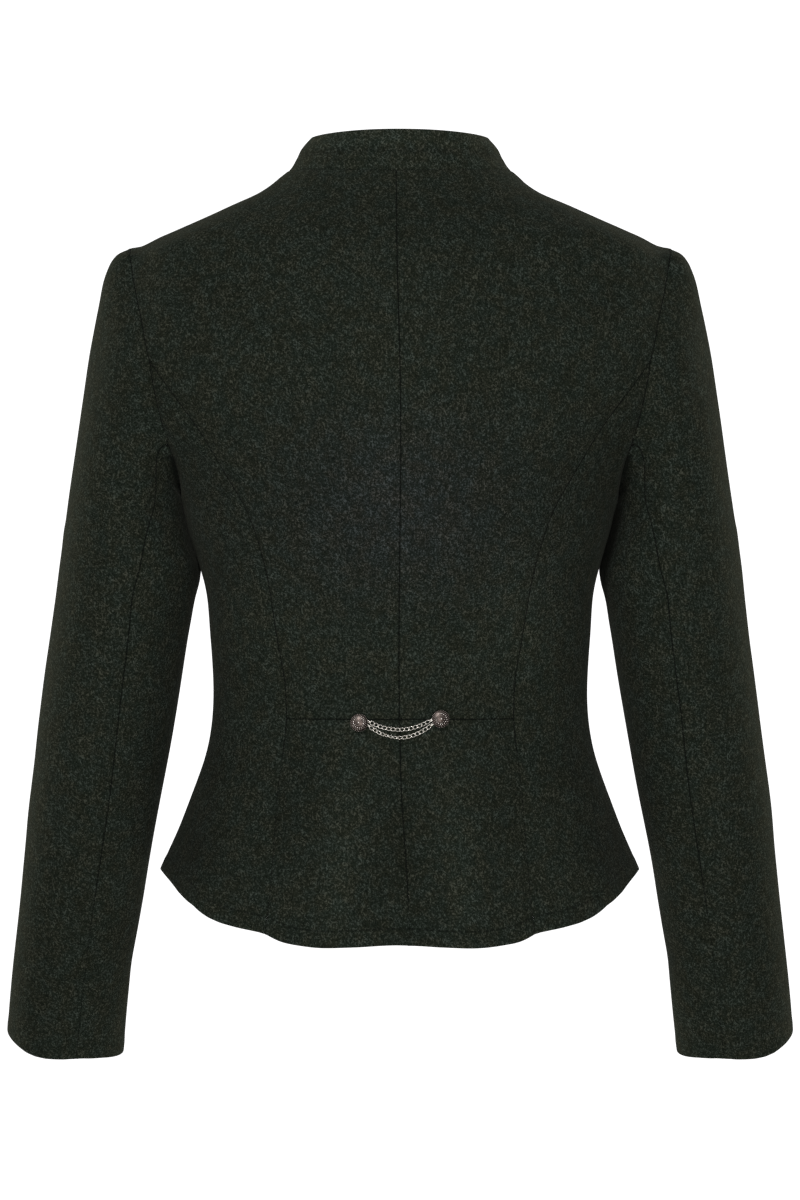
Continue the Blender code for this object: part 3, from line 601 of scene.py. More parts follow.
def join_seams(panels):
    """Brings the rims of neighbours to one line and one normal, so that a seam has no gap."""
    before = {panel.node: panel.places.copy() for panel in panels}
    for _ in range(JOIN_ROUNDS):
        draw_rims(panels)
    for panel in panels:
        rim = panel.rim
        seam, nearest = panel.away_from(panel.places[rim])
        shift = panel.places[rim] - before[panel.node][rim]
        fade = bump_curve(seam / SEAM_FADE)[:, None]
        inner = np.ones(len(panel.places), bool)
        inner[rim] = False
        panel.places[inner] += (shift[nearest] * fade)[inner]
        panel.normals = panel.normals * (1 - fade) + panel.normals[rim][nearest] * fade
        panel.normals /= np.linalg.norm(panel.normals, axis=1)[:, None]
    for panel in panels:
        foreign = [other for other in panels if other.part != panel.part]
        seams = np.concatenate([other.samples("seam")[0] for other in foreign])
        panel.pinned = panel.away_from(seams)[0]
        places = np.concatenate([other.places for other in foreign])
        beside = (places[:, 2] < TOUCH_TOP) & (places[:, 2] > TOUCH_LOW)
        panel.touching = panel.away_from(places[beside])[0]


def add_tones(panel, tones):
    """The sum of the tones at each point of a panel, as far as it faces back."""
    shown = unit(panel.normals[:, 1] / FACING_FADE + 1)
    return add_lines(tones, panel.places[:, 0], panel.places[:, 2], shown)


def add_lines(lines, across, heights, shown=1.0):
    """The sum of the lines of a table at each point, as far as each point shows them."""
    total = np.zeros(len(across))
    for x0, z0, x1, z1, width, rise in lines:
        total += rise * shown * line_hump(across, heights, (x0, z0), (x1, z1), width)
    return total


def line_hump(across, heights, line_start, line_end, width):
    """1 along a line and fading to its sides and ends."""
    start = np.array(line_start)
    along = np.array(line_end) - start
    length = np.linalg.norm(along)
    along = along / length
    from_start = np.stack([across, heights], axis=1) - start
    run = from_start @ along
    aside = from_start @ np.array([-along[1], along[0]])
    return bump_curve((run / length - 0.5) / FOLD_ENDS) * bell(aside / width)


def turn_round_arm(node, places):
    """The turn of each point round the arm in degrees: 0 outside, 90 behind, up to 360."""
    across, depth = sleeve_axis(places[:, 2])
    out = SIDES[side_of(node)] * places[:, 0] - across
    return np.degrees(np.arctan2(places[:, 1] - depth, out)) % 360


def add_sleeve_lines(node, places, lines):
    """The sum at each point of a sleeve of lines that go by the turn round the arm."""
    run = np.radians(turn_round_arm(node, places)) * SLEEVE_RADIUS
    flat = [
        (math.radians(turn0) * SLEEVE_RADIUS, z0, math.radians(turn1) * SLEEVE_RADIUS, *rest)
        for turn0, z0, turn1, *rest in lines
    ]
    return add_lines(flat, run, places[:, 2])


def fold_rise(node, places, normals):
    """How far the folds lift each point off the plain form."""
    rise = np.zeros(len(places))
    if node.startswith("sleeve"):
        rise += add_sleeve_lines(node, places, SLEEVE_FOLDS[side_of(node)])
    elif node != "collar":
        for side, facing in (("back", normals[:, 1]), ("front", -normals[:, 1])):
            shown = unit(facing / FACING_FADE)
            rise += add_lines(FOLDS[side], places[:, 0], places[:, 2], shown)
    for *pull, shift, height in WAVES:
        rise += height * np.sin(places @ np.array(pull) + shift)
    return rise


def painted_light_of(panel, edge):
    """The painted light and shade of the nap at each point, as a share."""
    if panel.node == "collar":
        band = COLLAR_PAINTED_LIGHT + unit((ROLL_PLACE - edge) / BAND_FADE) * BAND_PAINTED_LIGHT
        return band - ROLL_PAINTED_SHADE * bell((edge - ROLL_PLACE) / ROLL_WIDTH)
    if panel.node.startswith("sleeve"):
        total = add_sleeve_lines(panel.node, panel.places, SLEEVE_PAINTED_LIGHT)
    else:
        total = add_tones(panel, PAINTED_LIGHT_AND_SHADE)
    low = unit((TOUCH_TOP - panel.places[:, 2]) / TOUCH_RUN)
    reach = TOUCH_REACHES["sleeve" if panel.node.startswith("sleeve") else "body"]
    return total - TOUCH_SHADE * low * bell(panel.touching / reach)


def swell_at(swells, places):
    """The fullness at each place, from a table that is rounded off where its rows meet."""
    steps = np.linspace(-swells.round_by, swells.round_by, SWELL_SAMPLES)
    samples = [np.interp(places + step, swells.places, swells.rises) for step in steps]
    return sum(samples) / len(samples)


def fullness(node, places, normals, pinned):
    """How far the plain form stands out of the panel at each point."""
    aside = normals[:, 0] * np.sign(places[:, 0])
    free = 1 - bump_curve(pinned / FULL_REACH)
    heights = places[:, 2]
    if node == "collar":
        return swell_at(COLLAR_SWELLS, heights) * unit(aside) ** 2
    shoulder = unit((heights - SHOULDER_LOW) / SHOULDER_FADE) * unit(normals[:, 2])
    rise = swell_at(SHOULDER_SWELLS, np.abs(places[:, 0])) * shoulder
    swells = SLEEVE_SWELLS if node.startswith("sleeve") else BODY_SWELLS
    rise += swell_at(swells, heights) * unit(aside) * free
    if node.startswith("sleeve"):
        rise += swell_at(INNER_SWELLS, heights) * unit(-aside) * free
    return rise


def hang(panel, hem):
    """How far each point hangs below its panel, or stands above it at the back of the collar."""
    places = panel.places
    if panel.node == "collar":
        across = unit(np.abs(places[:, 0]) / COLLAR_BACK)
        behind = places[:, 1] > 0
        return -COLLAR_RISE * (1 - across**2) * behind * unit(places[:, 2] / COLLAR_TOP)
    if not panel.node.startswith("sleeve"):
        drop = np.interp(np.abs(places[:, 0]), HEM_PLACES, HEM_DROPS)
        return drop * bump_curve(hem / HANG_REACH) * unit(places[:, 1] / HEM_DEPTH)
    turn = turn_round_arm(panel.node, places)
    drop = np.interp(np.minimum(turn, 360 - turn), CUFF_TURNS, CUFF_DROPS)
    return drop * bump_curve(hem / HANG_REACH)


def faintness(node, places):
    """How far to move the painted shade of a seam away, where the nap closes over it."""
    if node == "collar":
        return np.full(len(places), FAINTEST_SEAM)
    if node.startswith("sleeve"):
        return FAINT_SEAM * unit((CENTRE_FADE - places[:, 2]) / SLEEVE_RUN)
    across = np.abs(places[:, 0])
    princess = (across > PRINCESS_OUT) & (places[:, 2] < PRINCESS_TOP)
    centre = (across < PRINCESS_OUT) * unit((CENTRE_FADE - places[:, 2]) / CENTRE_RUN)
    return (FAINT_SEAM * princess + FAINTEST_SEAM * centre) * (places[:, 1] > 0)


def keep_values(piece, name, values):
    """Keeps a number for each point of a piece, for its material."""
    layer = piece.data.attributes.new(name, "FLOAT", "POINT")
    layer.data.foreach_set("value", values.astype(np.float32))


def around(node, places):
    """A length round the body or the sleeve, to space stitches by."""
    middle = middle_of(node, places)
    across, depth = np.abs(places - middle)[:, 0], (places - middle)[:, 1]
    radius = SLEEVE_RADIUS if node.startswith("sleeve") else BODY_RADIUS
    return np.arctan2(across, depth) * radius


def dart_aside(panel):
    """How far each point is from the waist dart of a front, less than 0 on its inner side."""
    if not panel.node.startswith("front"):
        return np.full(len(panel.places), FAR)
    across, height = np.abs(panel.places[:, 0]), panel.places[:, 2]
    aside = across - np.interp(height, DART_HEIGHTS, DART_ACROSS)
    past = np.maximum(np.maximum(height - DART_HEIGHTS[-1], DART_HEIGHTS[0] - height), 0)
    away = np.hypot(aside, past) + FAR * (panel.places[:, 1] > 0)
    return np.where(aside < 0, -away, away)


def press(panel):
    """Presses seams, hems and folds into a fine skin, and keeps its distances for the material."""
    seam = panel.away_from(panel.samples("seam")[0])[0]
    hem = panel.away_from(panel.samples("hem")[0])[0]
    edge = panel.away_from(panel.samples("edge")[0])[0]
    free = 1 - bump_curve(panel.pinned / PIN_REACH)
    rise = fold_rise(panel.node, panel.places, panel.normals) * free
    # Painted light and shade: from the tables, lighter on folds that stand out, darker in hollows
    tone = painted_light_of(panel, edge) + rise * FOLD_PAINTED_LIGHT
    rise += fullness(panel.node, panel.places, panel.normals, panel.pinned)
    rise -= SEAM_DEPTH * bell(seam / SEAM_WIDTH)
    rise -= DIP_DEPTH * bell(seam / DIP_WIDTH)
    rise += WELT_HEIGHT * bell((seam - WELT_PLACE) / WELT_WIDTH)
    rise += HEM_SWELL * unit((HEM_LINE - hem) / HEM_STEP)
    dart = dart_aside(panel)
    rise -= DIP_DEPTH * bell(dart / DIP_WIDTH)
    if panel.node == "collar":
        behind = unit(panel.normals[:, 1])
        rise -= ROLL_DEPTH * behind * bell((edge - ROLL_PLACE) / ROLL_WIDTH)
    rise -= EDGE_TUCK * bell(np.minimum(hem, edge) / SEAM_WIDTH)
    moved = panel.places + panel.normals * rise[:, None]
    moved[:, 2] -= hang(panel, hem)
    for vertex, place in zip(panel.build.verts, moved):
        vertex.co = place
    panel.build.to_mesh(panel.piece.data)
    panel.build.free()
    plain_cuff = FAR if panel.node.startswith("sleeve") else 0.0
    lower = unit((TOUCH_DEEP - panel.places[:, 2]) / TOUCH_RUN)
    above = TOUCH_RUN * (panel.places[:, 2] > TOUCH_TOP)
    kept = {
        "dart": dart,
        "seam": seam + faintness(panel.node, panel.places),
        "tone": tone,
        "cool": np.minimum(add_tones(panel, COOL_TONES), 1),
        "hem": hem,
        "stitched": hem - HEM_LINE + plain_cuff,
        "edge": edge,
        "touching": panel.touching * (1 - TOUCH_LESS * lower) + above,
        "around": around(panel.node, panel.places),
    }
    for name, values in kept.items():
        keep_values(panel.piece, name, values)
    return hem


def mark_edges(piece):
    """Marks the sharp rims of hems and faced edges, for the bevel. Seams stay closed."""
    build = bmesh.new()
    build.from_mesh(piece.data)
    seam, hem, edge = (build.verts.layers.float[name] for name in ("seam", "hem", "edge"))
    mark = build.edges.layers.float.new("bevel_weight_edge")
    for line in build.edges:
        near = all(min(vertex[hem], vertex[edge]) < EDGE_NEAR for vertex in line.verts)
        sewn = any(vertex[seam] < FAINTEST_SEAM + SAME_POINT for vertex in line.verts)
        if near and not sewn and len(line.link_faces) == 2 and line.calc_face_angle() > SHARP_EDGE:
            line[mark] = 1.0
    build.to_mesh(piece.data)
    build.free()


def give_wall(piece, hem, wall):
    """Gives a pressed skin its thickness, with the double layer at its hem, and rounds its rims."""
    thick = piece.vertex_groups.new(name="thick")
    share = wall / HEM_WALL
    weights = share + (1 - share) * unit((HEM_LINE - hem) / HEM_STEP)
    for number, weight in enumerate(weights):
        thick.add([number], float(weight), "REPLACE")
    apply_modifier(
        piece,
        "SOLIDIFY",
        thickness=HEM_WALL,
        offset=-1.0,
        vertex_group="thick",
        use_quality_normals=True,
    )
    mark_edges(piece)
    apply_modifier(piece, "BEVEL", width=EDGE_ROUND, segments=2, limit_method="WEIGHT")
    piece.vertex_groups.clear()
    activate(piece)
    bpy.ops.object.shade_smooth_by_angle(angle=SHARP_EDGE)


def finish_cloth(panel):
    hem = press(panel)
    piece = panel.piece
    give_wall(piece, hem, COLLAR_WALL if panel.node == "collar" else WALL)
    piece.data.materials.clear()
    piece.data.materials.append(loden)
    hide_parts(panel.node)
    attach(piece, "jacket")


class Signal:
    """A value in a shader. Arithmetic on it adds Math nodes."""

    def __init__(self, shader, socket):
        self.shader = shader
        self.socket = socket

    def __add__(self, other):
        return self.shader.math("ADD", self, other)

    __radd__ = __add__

    def __mul__(self, other):
        return self.shader.math("MULTIPLY", self, other)

    __rmul__ = __mul__

    def __sub__(self, other):
        return self.shader.math("SUBTRACT", self, other)

    def __rsub__(self, other):
        return self.shader.math("SUBTRACT", other, self)


class Shader:
    """A material and the nodes that feed its Principled BSDF."""

    def __init__(self, name, **constants):
        self.material = bpy.data.materials.new(name)
        self.material.use_nodes = True
        self.tree = self.material.node_tree
        self.surface = self.tree.nodes["Principled BSDF"]
        for socket, value in constants.items():
            self.surface.inputs[socket.replace("_", " ")].default_value = value

    def add(self, kind, settings=None, inputs=None, output=0):
        node = self.tree.nodes.new("ShaderNode" + kind)
        for key, value in (settings or {}).items():
            if key == "stops":
                self.set_stops(node.color_ramp, value)
            else:
                setattr(node, key, value)
        for key, value in (inputs or {}).items():
            self.feed(node.inputs[key], value)
        return Signal(self, node.outputs[output])

    def set_stops(self, ramp, stops):
        while len(ramp.elements) < len(stops):
            ramp.elements.new(0.5)
        for element, (place, color) in zip(ramp.elements, stops):
            element.position = place
            element.color = (*color, 1) if len(color) == 3 else color

    def feed(self, socket, value):
        if isinstance(value, Signal):
            self.tree.links.new(value.socket, socket)
        else:
            socket.default_value = value

    def math(self, operation, *values):
        return self.add("Math", {"operation": operation}, dict(enumerate(values)))

    def mix(self, share, first, second, blend="MIX"):
        """Two colours mixed by a share."""
        settings = {"data_type": "RGBA", "blend_type": blend}
        return self.add("Mix", settings, {0: share, 6: first, 7: second}, output=2)

    def ramp(self, value, *stops):
        return self.add("ValToRGB", {"stops": stops}, {0: value})

    def smooth(self, value, low, high):
        """0 below low, 1 above high, and smooth between."""
        settings = {"interpolation_type": "SMOOTHSTEP"}
        return self.add("MapRange", settings, {0: value, 1: low, 2: high})

    def place(self, stretch=(1, 1, 1), turn=(0, 0, 0)):
        """The place on the object, for a pattern that is stretched along turned axes."""
        vector = self.add("TexCoord", output=3)
        return self.add("Mapping", {"vector_type": "TEXTURE"}, {0: vector, 2: turn, 3: stretch})

    def normal(self):
        """The way the surface faces on the object."""
        return self.add("TexCoord", output=1)

    def noise(self, vector, scale, detail=2.0, roughness=0.5):
        inputs = {"Vector": vector, "Scale": scale, "Detail": detail, "Roughness": roughness}
        return self.add("TexNoise", inputs=inputs)

    def attribute(self, name):
        return self.add("Attribute", {"attribute_name": name}, output=2)

    def color(self, value):
        self.feed(self.surface.inputs["Base Color"], value)

    def bump(self, height, strength, distance):
        inputs = {"Height": height, "Strength": strength, "Distance": distance}
        self.feed(self.surface.inputs["Normal"], self.add("Bump", inputs=inputs))


def make_loden():
    """Milled wool in a melange of dark green, grey-green and pale fibres, with a short nap."""
    shader = Shader(
        "loden",
        Roughness=0.95,
        Specular_IOR_Level=0.05,
        Sheen_Weight=0.03,
        Sheen_Roughness=0.45,
        Sheen_Tint=(0.9, 0.95, 0.78, 1),
    )
    plain = shader.place()
    hairs = None
    for number, lean in enumerate(HAIR_LEANS):
        vector = shader.place(stretch=(1.0, 1.0, HAIR_STRETCH), turn=(0.35 * number, lean, 0.2))
        hair = shader.smooth(shader.noise(vector, HAIR_SCALE, 1.0, 0.5), 0.59, 0.73)
        hairs = hair if hairs is None else shader.math("MAXIMUM", hairs, hair)
    clumps = shader.noise(plain, CLUMP_SCALE, 1.0, 0.6)
    clouds = shader.noise(plain, CLOUD_SCALE, 3.0, 0.6)
    patches = shader.noise(plain, PATCH_SCALE, 3.0, 0.6)
    ground = shader.ramp(clumps * 0.86 + clouds * 0.14, *GROUND_STOPS)
    strength = hairs * (0.6 + 0.4 * shader.smooth(clouds, 0.35, 0.65))
    haired = shader.mix(strength, ground, HAIR_COLOR)
    warmth = shader.smooth(patches, 0.35, 0.65)
    tint = shader.mix(warmth, WARM_TINT, COLD_TINT)
    cooled = shader.mix(shader.attribute("cool"), tint, COOL_BACK, "MULTIPLY")
    melange = shader.mix(1.0, haired, cooled, "MULTIPLY")
    # Painted light and shade, multiplied into the colour of the cloth
    cloth = shader.mix(1.0, melange, shader.attribute("tone") + 1.0, "MULTIPLY")
    # Painted shade along the seams and the dart, broken up by the nap's clumps; then the hem's
    # stitches
    dart = shader.math("ABSOLUTE", shader.attribute("dart"))
    sewn = shader.math("MINIMUM", shader.attribute("seam"), dart)
    seam = shader.smooth(sewn + (clumps - 0.5) * 0.0012, 0.0001, 0.0008)
    beside = shader.math("ABSOLUTE", shader.attribute("stitched"))
    gap = shader.math("PINGPONG", shader.attribute("around"), STITCH_PITCH)
    stitch = shader.smooth(beside, 0.0005, 0.0012) + shader.smooth(gap, 0.0014, 0.0018) * 0.5 + 0.45
    line = shader.math("MINIMUM", shader.math("MINIMUM", stitch, 1.0), seam)
    # Painted shadow: a dark line where the sleeve lies against the body
    apart = shader.smooth(shader.attribute("touching"), 0.0012, 0.0052) * 0.9 + 0.1
    shader.color(shader.mix(shader.math("MINIMUM", apart, line), STITCH_AND_PAINTED_SHADE, cloth))
    shader.bump(hairs * 0.6 + clumps, 0.6, 0.0005)
    return shader.material


def make_antique_silver():
    """Silver, brown in hollows, rubbed bright on beads; painted highlight above and shade below."""
    shader = Shader("antique_silver", Metallic=1.0)
    plain = shader.place()
    grain = (shader.noise(plain, 1800.0) - 0.5) * 0.3
    worn = shader.smooth(shader.attribute("raised") + grain, 0.1, 0.9)
    tarnish = shader.noise(plain, 500.0, 3.0, 0.6)
    hollow = shader.mix(tarnish, HOLLOW_DARK, HOLLOW_PALE)
    metal = shader.mix(worn, hollow, BEAD_SILVER)
    # Painted highlight on the upper side of the dome and of each bead, painted shade on the other
    # side
    ways = {0: shader.normal(), 1: HIGHLIGHT_SIDE}
    facing = shader.add("VectorMath", {"operation": "DOT_PRODUCT"}, ways, output=1)
    brightening = shader.mix(shader.smooth(facing, -0.5, 0.6), PAINTED_SHADE_TINT, PAINTED_HIGHLIGHT_TINT)
    shader.color(shader.mix(1.0, metal, brightening, "MULTIPLY"))
    shader.feed(shader.surface.inputs["Roughness"], 0.42 - worn * 0.1)
    shader.bump(shader.noise(plain, 3000.0), 0.2, 0.0001)
    return shader.material


def make_chain_silver():
    """Bright, slightly warm silver with darker rubbings."""
    shader = Shader("chain_silver", Metallic=0.81)
    plain = shader.place()
    brightening = shader.smooth(shader.noise(plain, 900.0, 3.0, 0.6), 0.35, 0.65)
    shader.color(shader.mix(brightening, CHAIN_DARK, CHAIN_BRIGHT))
    shader.feed(shader.surface.inputs["Roughness"], 0.34 - brightening * 0.12)
    shader.bump(shader.noise(plain, 4000.0), 0.2, 0.00005)
    return shader.material


def join_pieces(name, pieces, finish):
    """Joins meshes into one piece with its place in its mesh."""
    start_clear()
    for piece in pieces:
        piece.select_set(True)
    bpy.context.view_layer.objects.active = pieces[0]
    if len(pieces) > 1:
        bpy.ops.object.join()
    joined = bpy.context.object
    joined.name = name
    bpy.ops.object.transform_apply()
    joined.data.materials.clear()
    joined.data.materials.append(finish)
    return joined


def copy_to(piece, name, matrix):
    """A copy of a piece with its own mesh, moved to its place."""
    copy = new_piece(name, piece.data.copy())
    copy.data.transform(matrix)
    return copy


# The outline of a button's foot and dome: the radius and height of each ring
DOME_RINGS = (
    (0.34, 0.0), (0.34, 0.31), (0.86, 0.36), (0.95, 0.4), (0.96, 0.46), (0.88, 0.55),
    (0.74, 0.665), (0.56, 0.755), (0.36, 0.82), (0.18, 0.855), (0.06, 0.865),
)
DOME_SIDES = 40

# Rows of beads on a button, in shares of its radius. lean turns each bead on the spot, and raised
# is how far it is rubbed bright
Beads = namedtuple("Beads", "count radius height long wide tall lean raised")
BUTTON_BEADS = (
    Beads(32, 0.945, 0.455, 0.085, 0.052, 0.06, 0.75, 0.35),
    Beads(24, 0.775, 0.64, 0.058, 0.06, 0.055, 0.0, 0.5),
    Beads(16, 0.59, 0.745, 0.072, 0.078, 0.062, 0.0, 1.0),
    Beads(10, 0.37, 0.815, 0.05, 0.055, 0.045, 0.0, 0.45),
)
CENTRE_RADIUS = 0.125
CENTRE_HEIGHT = 0.875
BUTTON_BEND = math.radians(45)
BEAD_SIDES = 8
BEAD_RINGS = 6


def add_bead_row(beads):
    """One bead, then copies of it turned round the button's axis."""
    start_clear()
    bpy.ops.mesh.primitive_uv_sphere_add(
        segments=BEAD_SIDES,
        ring_count=BEAD_RINGS,
        radius=1.0,
        location=(beads.radius, 0, beads.height),
        rotation=(beads.lean, 0, 0),
    )
    row = bpy.context.object
    row.scale = (beads.wide, beads.long, beads.tall)
    bpy.ops.object.transform_apply()
    bpy.ops.object.mode_set(mode="EDIT")
    for _ in range(beads.count - 1):
        bpy.ops.mesh.duplicate()
        bpy.ops.transform.rotate(
            value=math.tau / beads.count, orient_axis="Z", center_override=(0, 0, 0)
        )
    bpy.ops.object.mode_set(mode="OBJECT")
    return row


def add_dome():
    """The turned body of the button, foot and dome, drawn out ring by ring."""
    start_clear()
    bpy.ops.mesh.primitive_circle_add(
        vertices=DOME_SIDES, radius=DOME_RINGS[0][0], fill_type="NGON", location=(0, 0, 0)
    )
    dome = bpy.context.object
    bpy.ops.object.mode_set(mode="EDIT")
    for (before, low), (after, high) in zip(DOME_RINGS, DOME_RINGS[1:]):
        step = (0, 0, high - low)
        bpy.ops.mesh.extrude_region_move(TRANSFORM_OT_translate={"value": step})
        share = after / before
        bpy.ops.transform.resize(value=(share, share, 1), center_override=(0, 0, 0))
    bpy.ops.mesh.select_all(action="SELECT")
    bpy.ops.mesh.normals_make_consistent(inside=False)
    bpy.ops.object.mode_set(mode="OBJECT")
    return dome


def add_button_master():
    """A domed filigree button of radius 1 on the Z axis: a rope rim, rows of beads and a centre."""
    dome = add_dome()
    rows = [add_bead_row(beads) for beads in BUTTON_BEADS]
    for beads, row in zip(BUTTON_BEADS, rows):
        keep_values(row, "raised", np.full(len(row.data.vertices), beads.raised))
    start_clear()
    bpy.ops.mesh.primitive_uv_sphere_add(
        segments=12, ring_count=8, radius=CENTRE_RADIUS, location=(0, 0, CENTRE_HEIGHT)
    )
    rows.append(bpy.context.object)
    keep_values(rows[-1], "raised", np.ones(len(rows[-1].data.vertices)))
    keep_values(dome, "raised", np.zeros(len(dome.data.vertices)))
    master = join_pieces("button_master", [dome, *rows], antique_silver)
    activate(master)
    bpy.ops.object.shade_smooth_by_angle(angle=BUTTON_BEND)
    return master


def button_frame(node):
    """Turns and moves a button from the origin to where its CAD solid is, and its size."""
    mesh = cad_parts[node].data
    points = np.array([vertex.co for vertex in mesh.vertices])
    centre = (points.max(axis=0) + points.min(axis=0)) / 2
    spread = np.linalg.svd(points - centre, full_matrices=False)[2]
    axis = spread[2] * (1 if spread[2][1] * centre[1] > 0 else -1)
    heights = (points - centre) @ axis
    aside = points - centre - heights[:, None] * axis
    foot = centre + axis * heights.min()
    radius = np.linalg.norm(aside, axis=1).max()
    turn = Vector((0, 0, 1)).rotation_difference(Vector(axis)).to_matrix().to_4x4()
    return Matrix.Translation(foot) @ turn @ Matrix.Scale(radius, 4)


def add_buttons():
    master = add_button_master()
    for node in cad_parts:
        if "button" in node:
            button = copy_to(master, f"filigree_{node}", button_frame(node))
            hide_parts(node)
            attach(button, "jacket")
    bpy.data.objects.remove(master)


# The chain: curb links of oval wire, each turned an eighth at its ends so that all lie flat
LINK_REACH = 0.00194
LINK_HALF_WIDTH = 0.00124
LINK_WIRE = 0.00022
LINK_ROUND = 0.5523
LINK_TWIST = math.radians(45)
LINK_WOBBLE = 5
WOBBLE_STEP = 2.4

Strand = namedtuple("Strand", "node links left right low roll_most roll_place roll_spread")
STRANDS = (
    Strand(
        "chain_upper",
        14,
        (0.021927, 0.09577, -0.406725),
        (-0.021725, 0.095761, -0.405833),
        (0.0001, 0.09722, -0.41227),
        12,
        0.3,
        0.25,
    ),
    Strand(
        "chain_lower",
        15,
        (0.022127, 0.095886, -0.409892),
        (-0.022431, 0.095813, -0.409101),
        (-0.00015, 0.09769, -0.41799),
        62,
        0.36,
        0.2,
    ),
)
ROUTE_POINTS = 400

# A buttonhole: an oval of cord that starts behind the shank of its button
HOLE_REACH = 0.009
HOLE_HALF_WIDTH = 0.0013
HOLE_CORD = 0.0006
HOLE_SHIFT = -0.0065

# The wire loops at the ends of the strands. Each lies along the first places of its route
LOOP_REACH = 0.0034
LOOP_HALF_WIDTH = 0.0007
LOOP_WIRE = 0.00028
LOOP_LEAD = 12


def add_oval(name, reach, half_width, wire, twist):
    """A ring of wire along X, drawn as a round curve whose handles are pulled to an oval."""
    start_clear()
    bpy.ops.curve.primitive_bezier_circle_add(radius=1)
    oval = bpy.context.object
    curve = oval.data
    curve.dimensions = "3D"
    curve.resolution_u = 6
    curve.bevel_depth = wire
    curve.bevel_resolution = 2
    slope = twist * half_width / reach
    for point in curve.splines[0].bezier_points:
        x, y = point.co.x, point.co.y
        point.handle_left_type = "FREE"
        point.handle_right_type = "FREE"
        point.co = (x * reach, y * half_width, 0)
        if abs(x) > 0.5:
            pull = Vector((0, math.cos(twist) * half_width, math.sin(twist * x) * half_width)) * -x
        else:
            pull = Vector((reach * y, 0, slope * reach))
        point.handle_right = point.co + pull * LINK_ROUND
        point.handle_left = point.co - pull * LINK_ROUND
    bpy.ops.object.convert(target="MESH")
    oval.name = name
    return oval


def strand_route(strand):
    """Places along a strand: its sag is a parabola below the line of its ends."""
    left, right, low = (np.array(place) for place in (strand.left, strand.right, strand.low))
    share = np.linspace(0, 1, ROUTE_POINTS)[:, None]
    sag = low - (left + right) / 2
    return left + (right - left) * share + sag * 4 * share * (1 - share)


def frame_at(place, along, out, roll):
    """A frame with X along the chain and Z away from the cloth, rolled about X."""
    along = Vector(along).normalized()
    side = Vector(out).cross(along).normalized()
    turn = Matrix((along, side, along.cross(side))).transposed().to_4x4()
    return Matrix.Translation(place) @ turn @ Matrix.Rotation(roll, 4, "X")


def add_strand(strand, link):
    """Curb links spaced along the strand, joined into one mesh."""
    route = strand_route(strand)
    run = np.concatenate([[0], np.cumsum(np.linalg.norm(np.diff(route, axis=0), axis=1))])
    first = LINK_REACH + LINK_WIRE
    stations = np.linspace(first, run[-1] - first, strand.links)
    links = []
    for number, station in enumerate(stations):
        before, place, after = (
            Vector([np.interp(station + step, run, line) for line in route.T])
            for step in (-first, 0, first)
        )
        aside = (station / run[-1] - strand.roll_place) / strand.roll_spread
        roll = strand.roll_most * math.exp(-(aside**2))
        roll += LINK_WOBBLE * math.sin(WOBBLE_STEP * number + len(strand.node))
        matrix = frame_at(place, after - before, (0, 1, 0), math.radians(roll))
        links.append(copy_to(link, f"{strand.node}_link_{number}", matrix))
    chain = join_pieces(f"links_{strand.node}", links, chain_silver)
    chain.data.shade_smooth()
    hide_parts(strand.node)
    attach(chain, strand.node)
    return route


def add_end_loops(routes):
    """Wire loops that come from under each button and hold the ends of the strands."""
    loop = add_oval("loop", LOOP_REACH, LOOP_HALF_WIDTH, LOOP_WIRE, 0.0)
    loops = []
    for route in routes:
        for end, inner in ((0, LOOP_LEAD), (-1, -1 - LOOP_LEAD)):
            outward = Vector(route[inner] - route[end]).normalized()
            tip = Vector(route[end]) + outward * (LINK_WIRE * 2 + LOOP_WIRE)
            centre = tip - outward * LOOP_REACH
            matrix = frame_at(centre, outward, (0, 1, 0), LINK_TWIST)
            loops.append(copy_to(loop, "end_loop", matrix))
    bpy.data.objects.remove(loop)
    piece = join_pieces("chain_end_loops", loops, chain_silver)
    piece.data.shade_smooth()
    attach(piece, "jacket")


def add_buttonholes():
    """Corded buttonholes in the upper front, each half hidden by its button."""
    cord = add_oval("cord", HOLE_REACH, HOLE_HALF_WIDTH, HOLE_CORD, 0.0)
    holes = []
    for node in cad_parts:
        if node.startswith("front_button"):
            button = button_frame(node)
            out = button.to_3x3() @ Vector((0, 0, 1))
            along = Vector((0, 0, 1)).cross(out)
            place = button.translation + along.normalized() * HOLE_SHIFT
            holes.append(copy_to(cord, "hole", frame_at(place, along, out, 0.0)))
    bpy.data.objects.remove(cord)
    piece = join_pieces("buttonholes", holes, loden)
    piece.data.shade_smooth()
    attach(piece, "jacket")


def add_chain():
    link = add_oval("link", LINK_REACH, LINK_HALF_WIDTH, LINK_WIRE, LINK_TWIST)
    routes = [add_strand(strand, link) for strand in STRANDS]
    bpy.data.objects.remove(link)
    add_end_loops(routes)


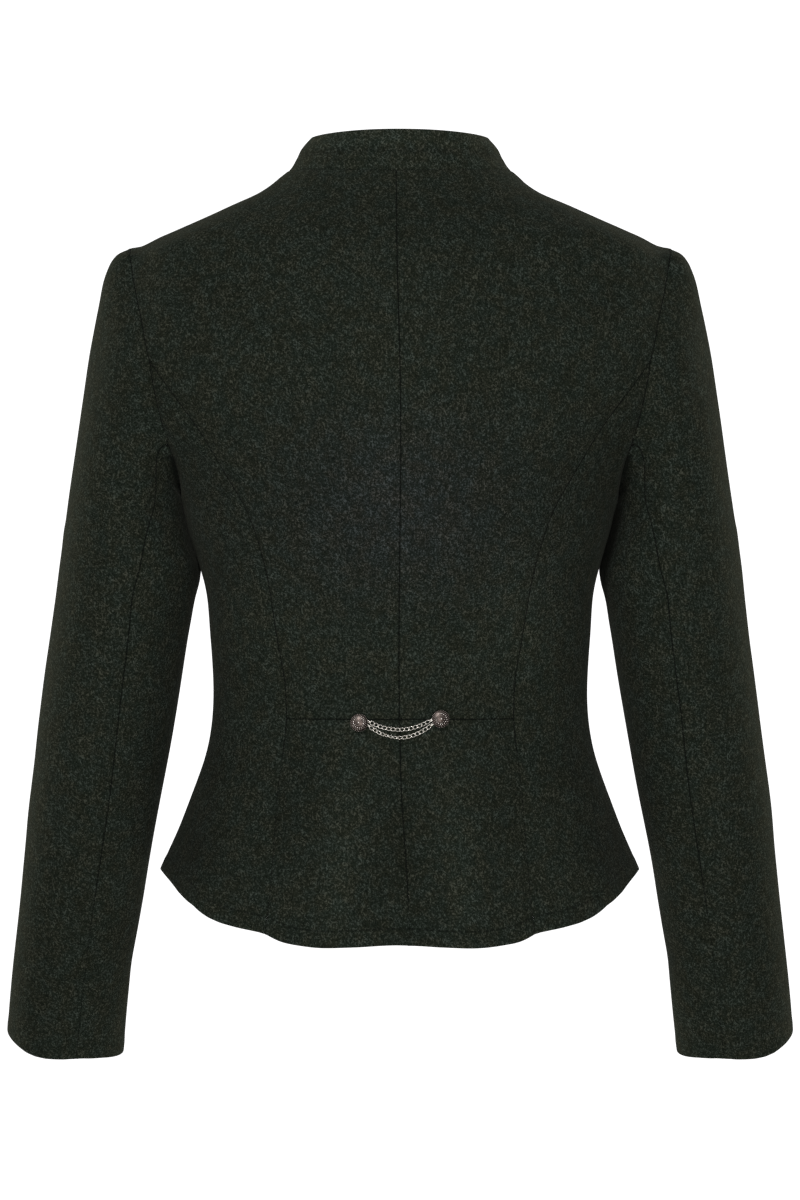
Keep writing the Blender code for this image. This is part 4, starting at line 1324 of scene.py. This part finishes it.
def emitter(name, strength):
    shader = Shader(name, Roughness=1.0, Emission_Color=(1, 1, 1, 1), Emission_Strength=strength)
    shader.color((0.8, 0.8, 0.8, 1))
    return shader.material


def add_plane(name, size, place, turn, finish):
    start_clear()
    bpy.ops.mesh.primitive_plane_add(size=size, location=place, rotation=turn)
    plane = bpy.context.object
    plane.name = name
    plane.data.materials.append(finish)


def add_stage():
    """A pale floor under the jacket and a bright white cloth far behind it."""
    add_plane("floor", FLOOR_SIZE, (0, 0, FLOOR_HEIGHT), (0, 0, 0), emitter("paper", 0.0))
    white = emitter("lit_backdrop", 1.0)
    add_plane("backdrop", BACKDROP_SIZE, (0, BACKDROP_PLACE, 0), UPRIGHT, white)
    world = bpy.data.worlds.new("studio")
    bpy.context.scene.world = world
    world.use_nodes = True
    sky = world.node_tree.nodes["Background"].inputs
    sky[0].default_value = (1, 1, 1, 1)
    sky[1].default_value = WORLD_LIGHT


def add_lamp(lamp_row):
    """A soft box that faces the jacket."""
    lamp = new_piece(lamp_row.name, bpy.data.lights.new(lamp_row.name, "AREA"))
    lamp.data.size = lamp_row.size
    lamp.data.energy = lamp_row.power
    lamp.data.color = lamp_row.color
    lamp.location = lamp_row.place
    facing = Vector(LAMP_AIM) - Vector(lamp_row.place)
    lamp.rotation_euler = facing.to_track_quat("-Z", "Y").to_euler()


def add_camera():
    camera = new_piece("camera", bpy.data.cameras.new("camera"))
    camera.data.lens = CAMERA_LENS
    camera.location = CAMERA_PLACE
    camera.rotation_euler = UPRIGHT
    bpy.context.scene.camera = camera


loden = make_loden()
antique_silver = make_antique_silver()
chain_silver = make_chain_silver()

cuts = {f"{cut.node}_{side}": cut for cut in CUTS for side in SIDES}
cuts["collar"] = COLLAR_CUT
panels = [Panel(node) for node in cuts]
join_seams(panels)
for panel in panels:
    finish_cloth(panel)
add_buttons()
add_buttonholes()
add_chain()

add_stage()
for lamp_row in LAMPS:
    add_lamp(lamp_row)
add_camera()
bpy.context.scene.view_settings.view_transform = "Standard"
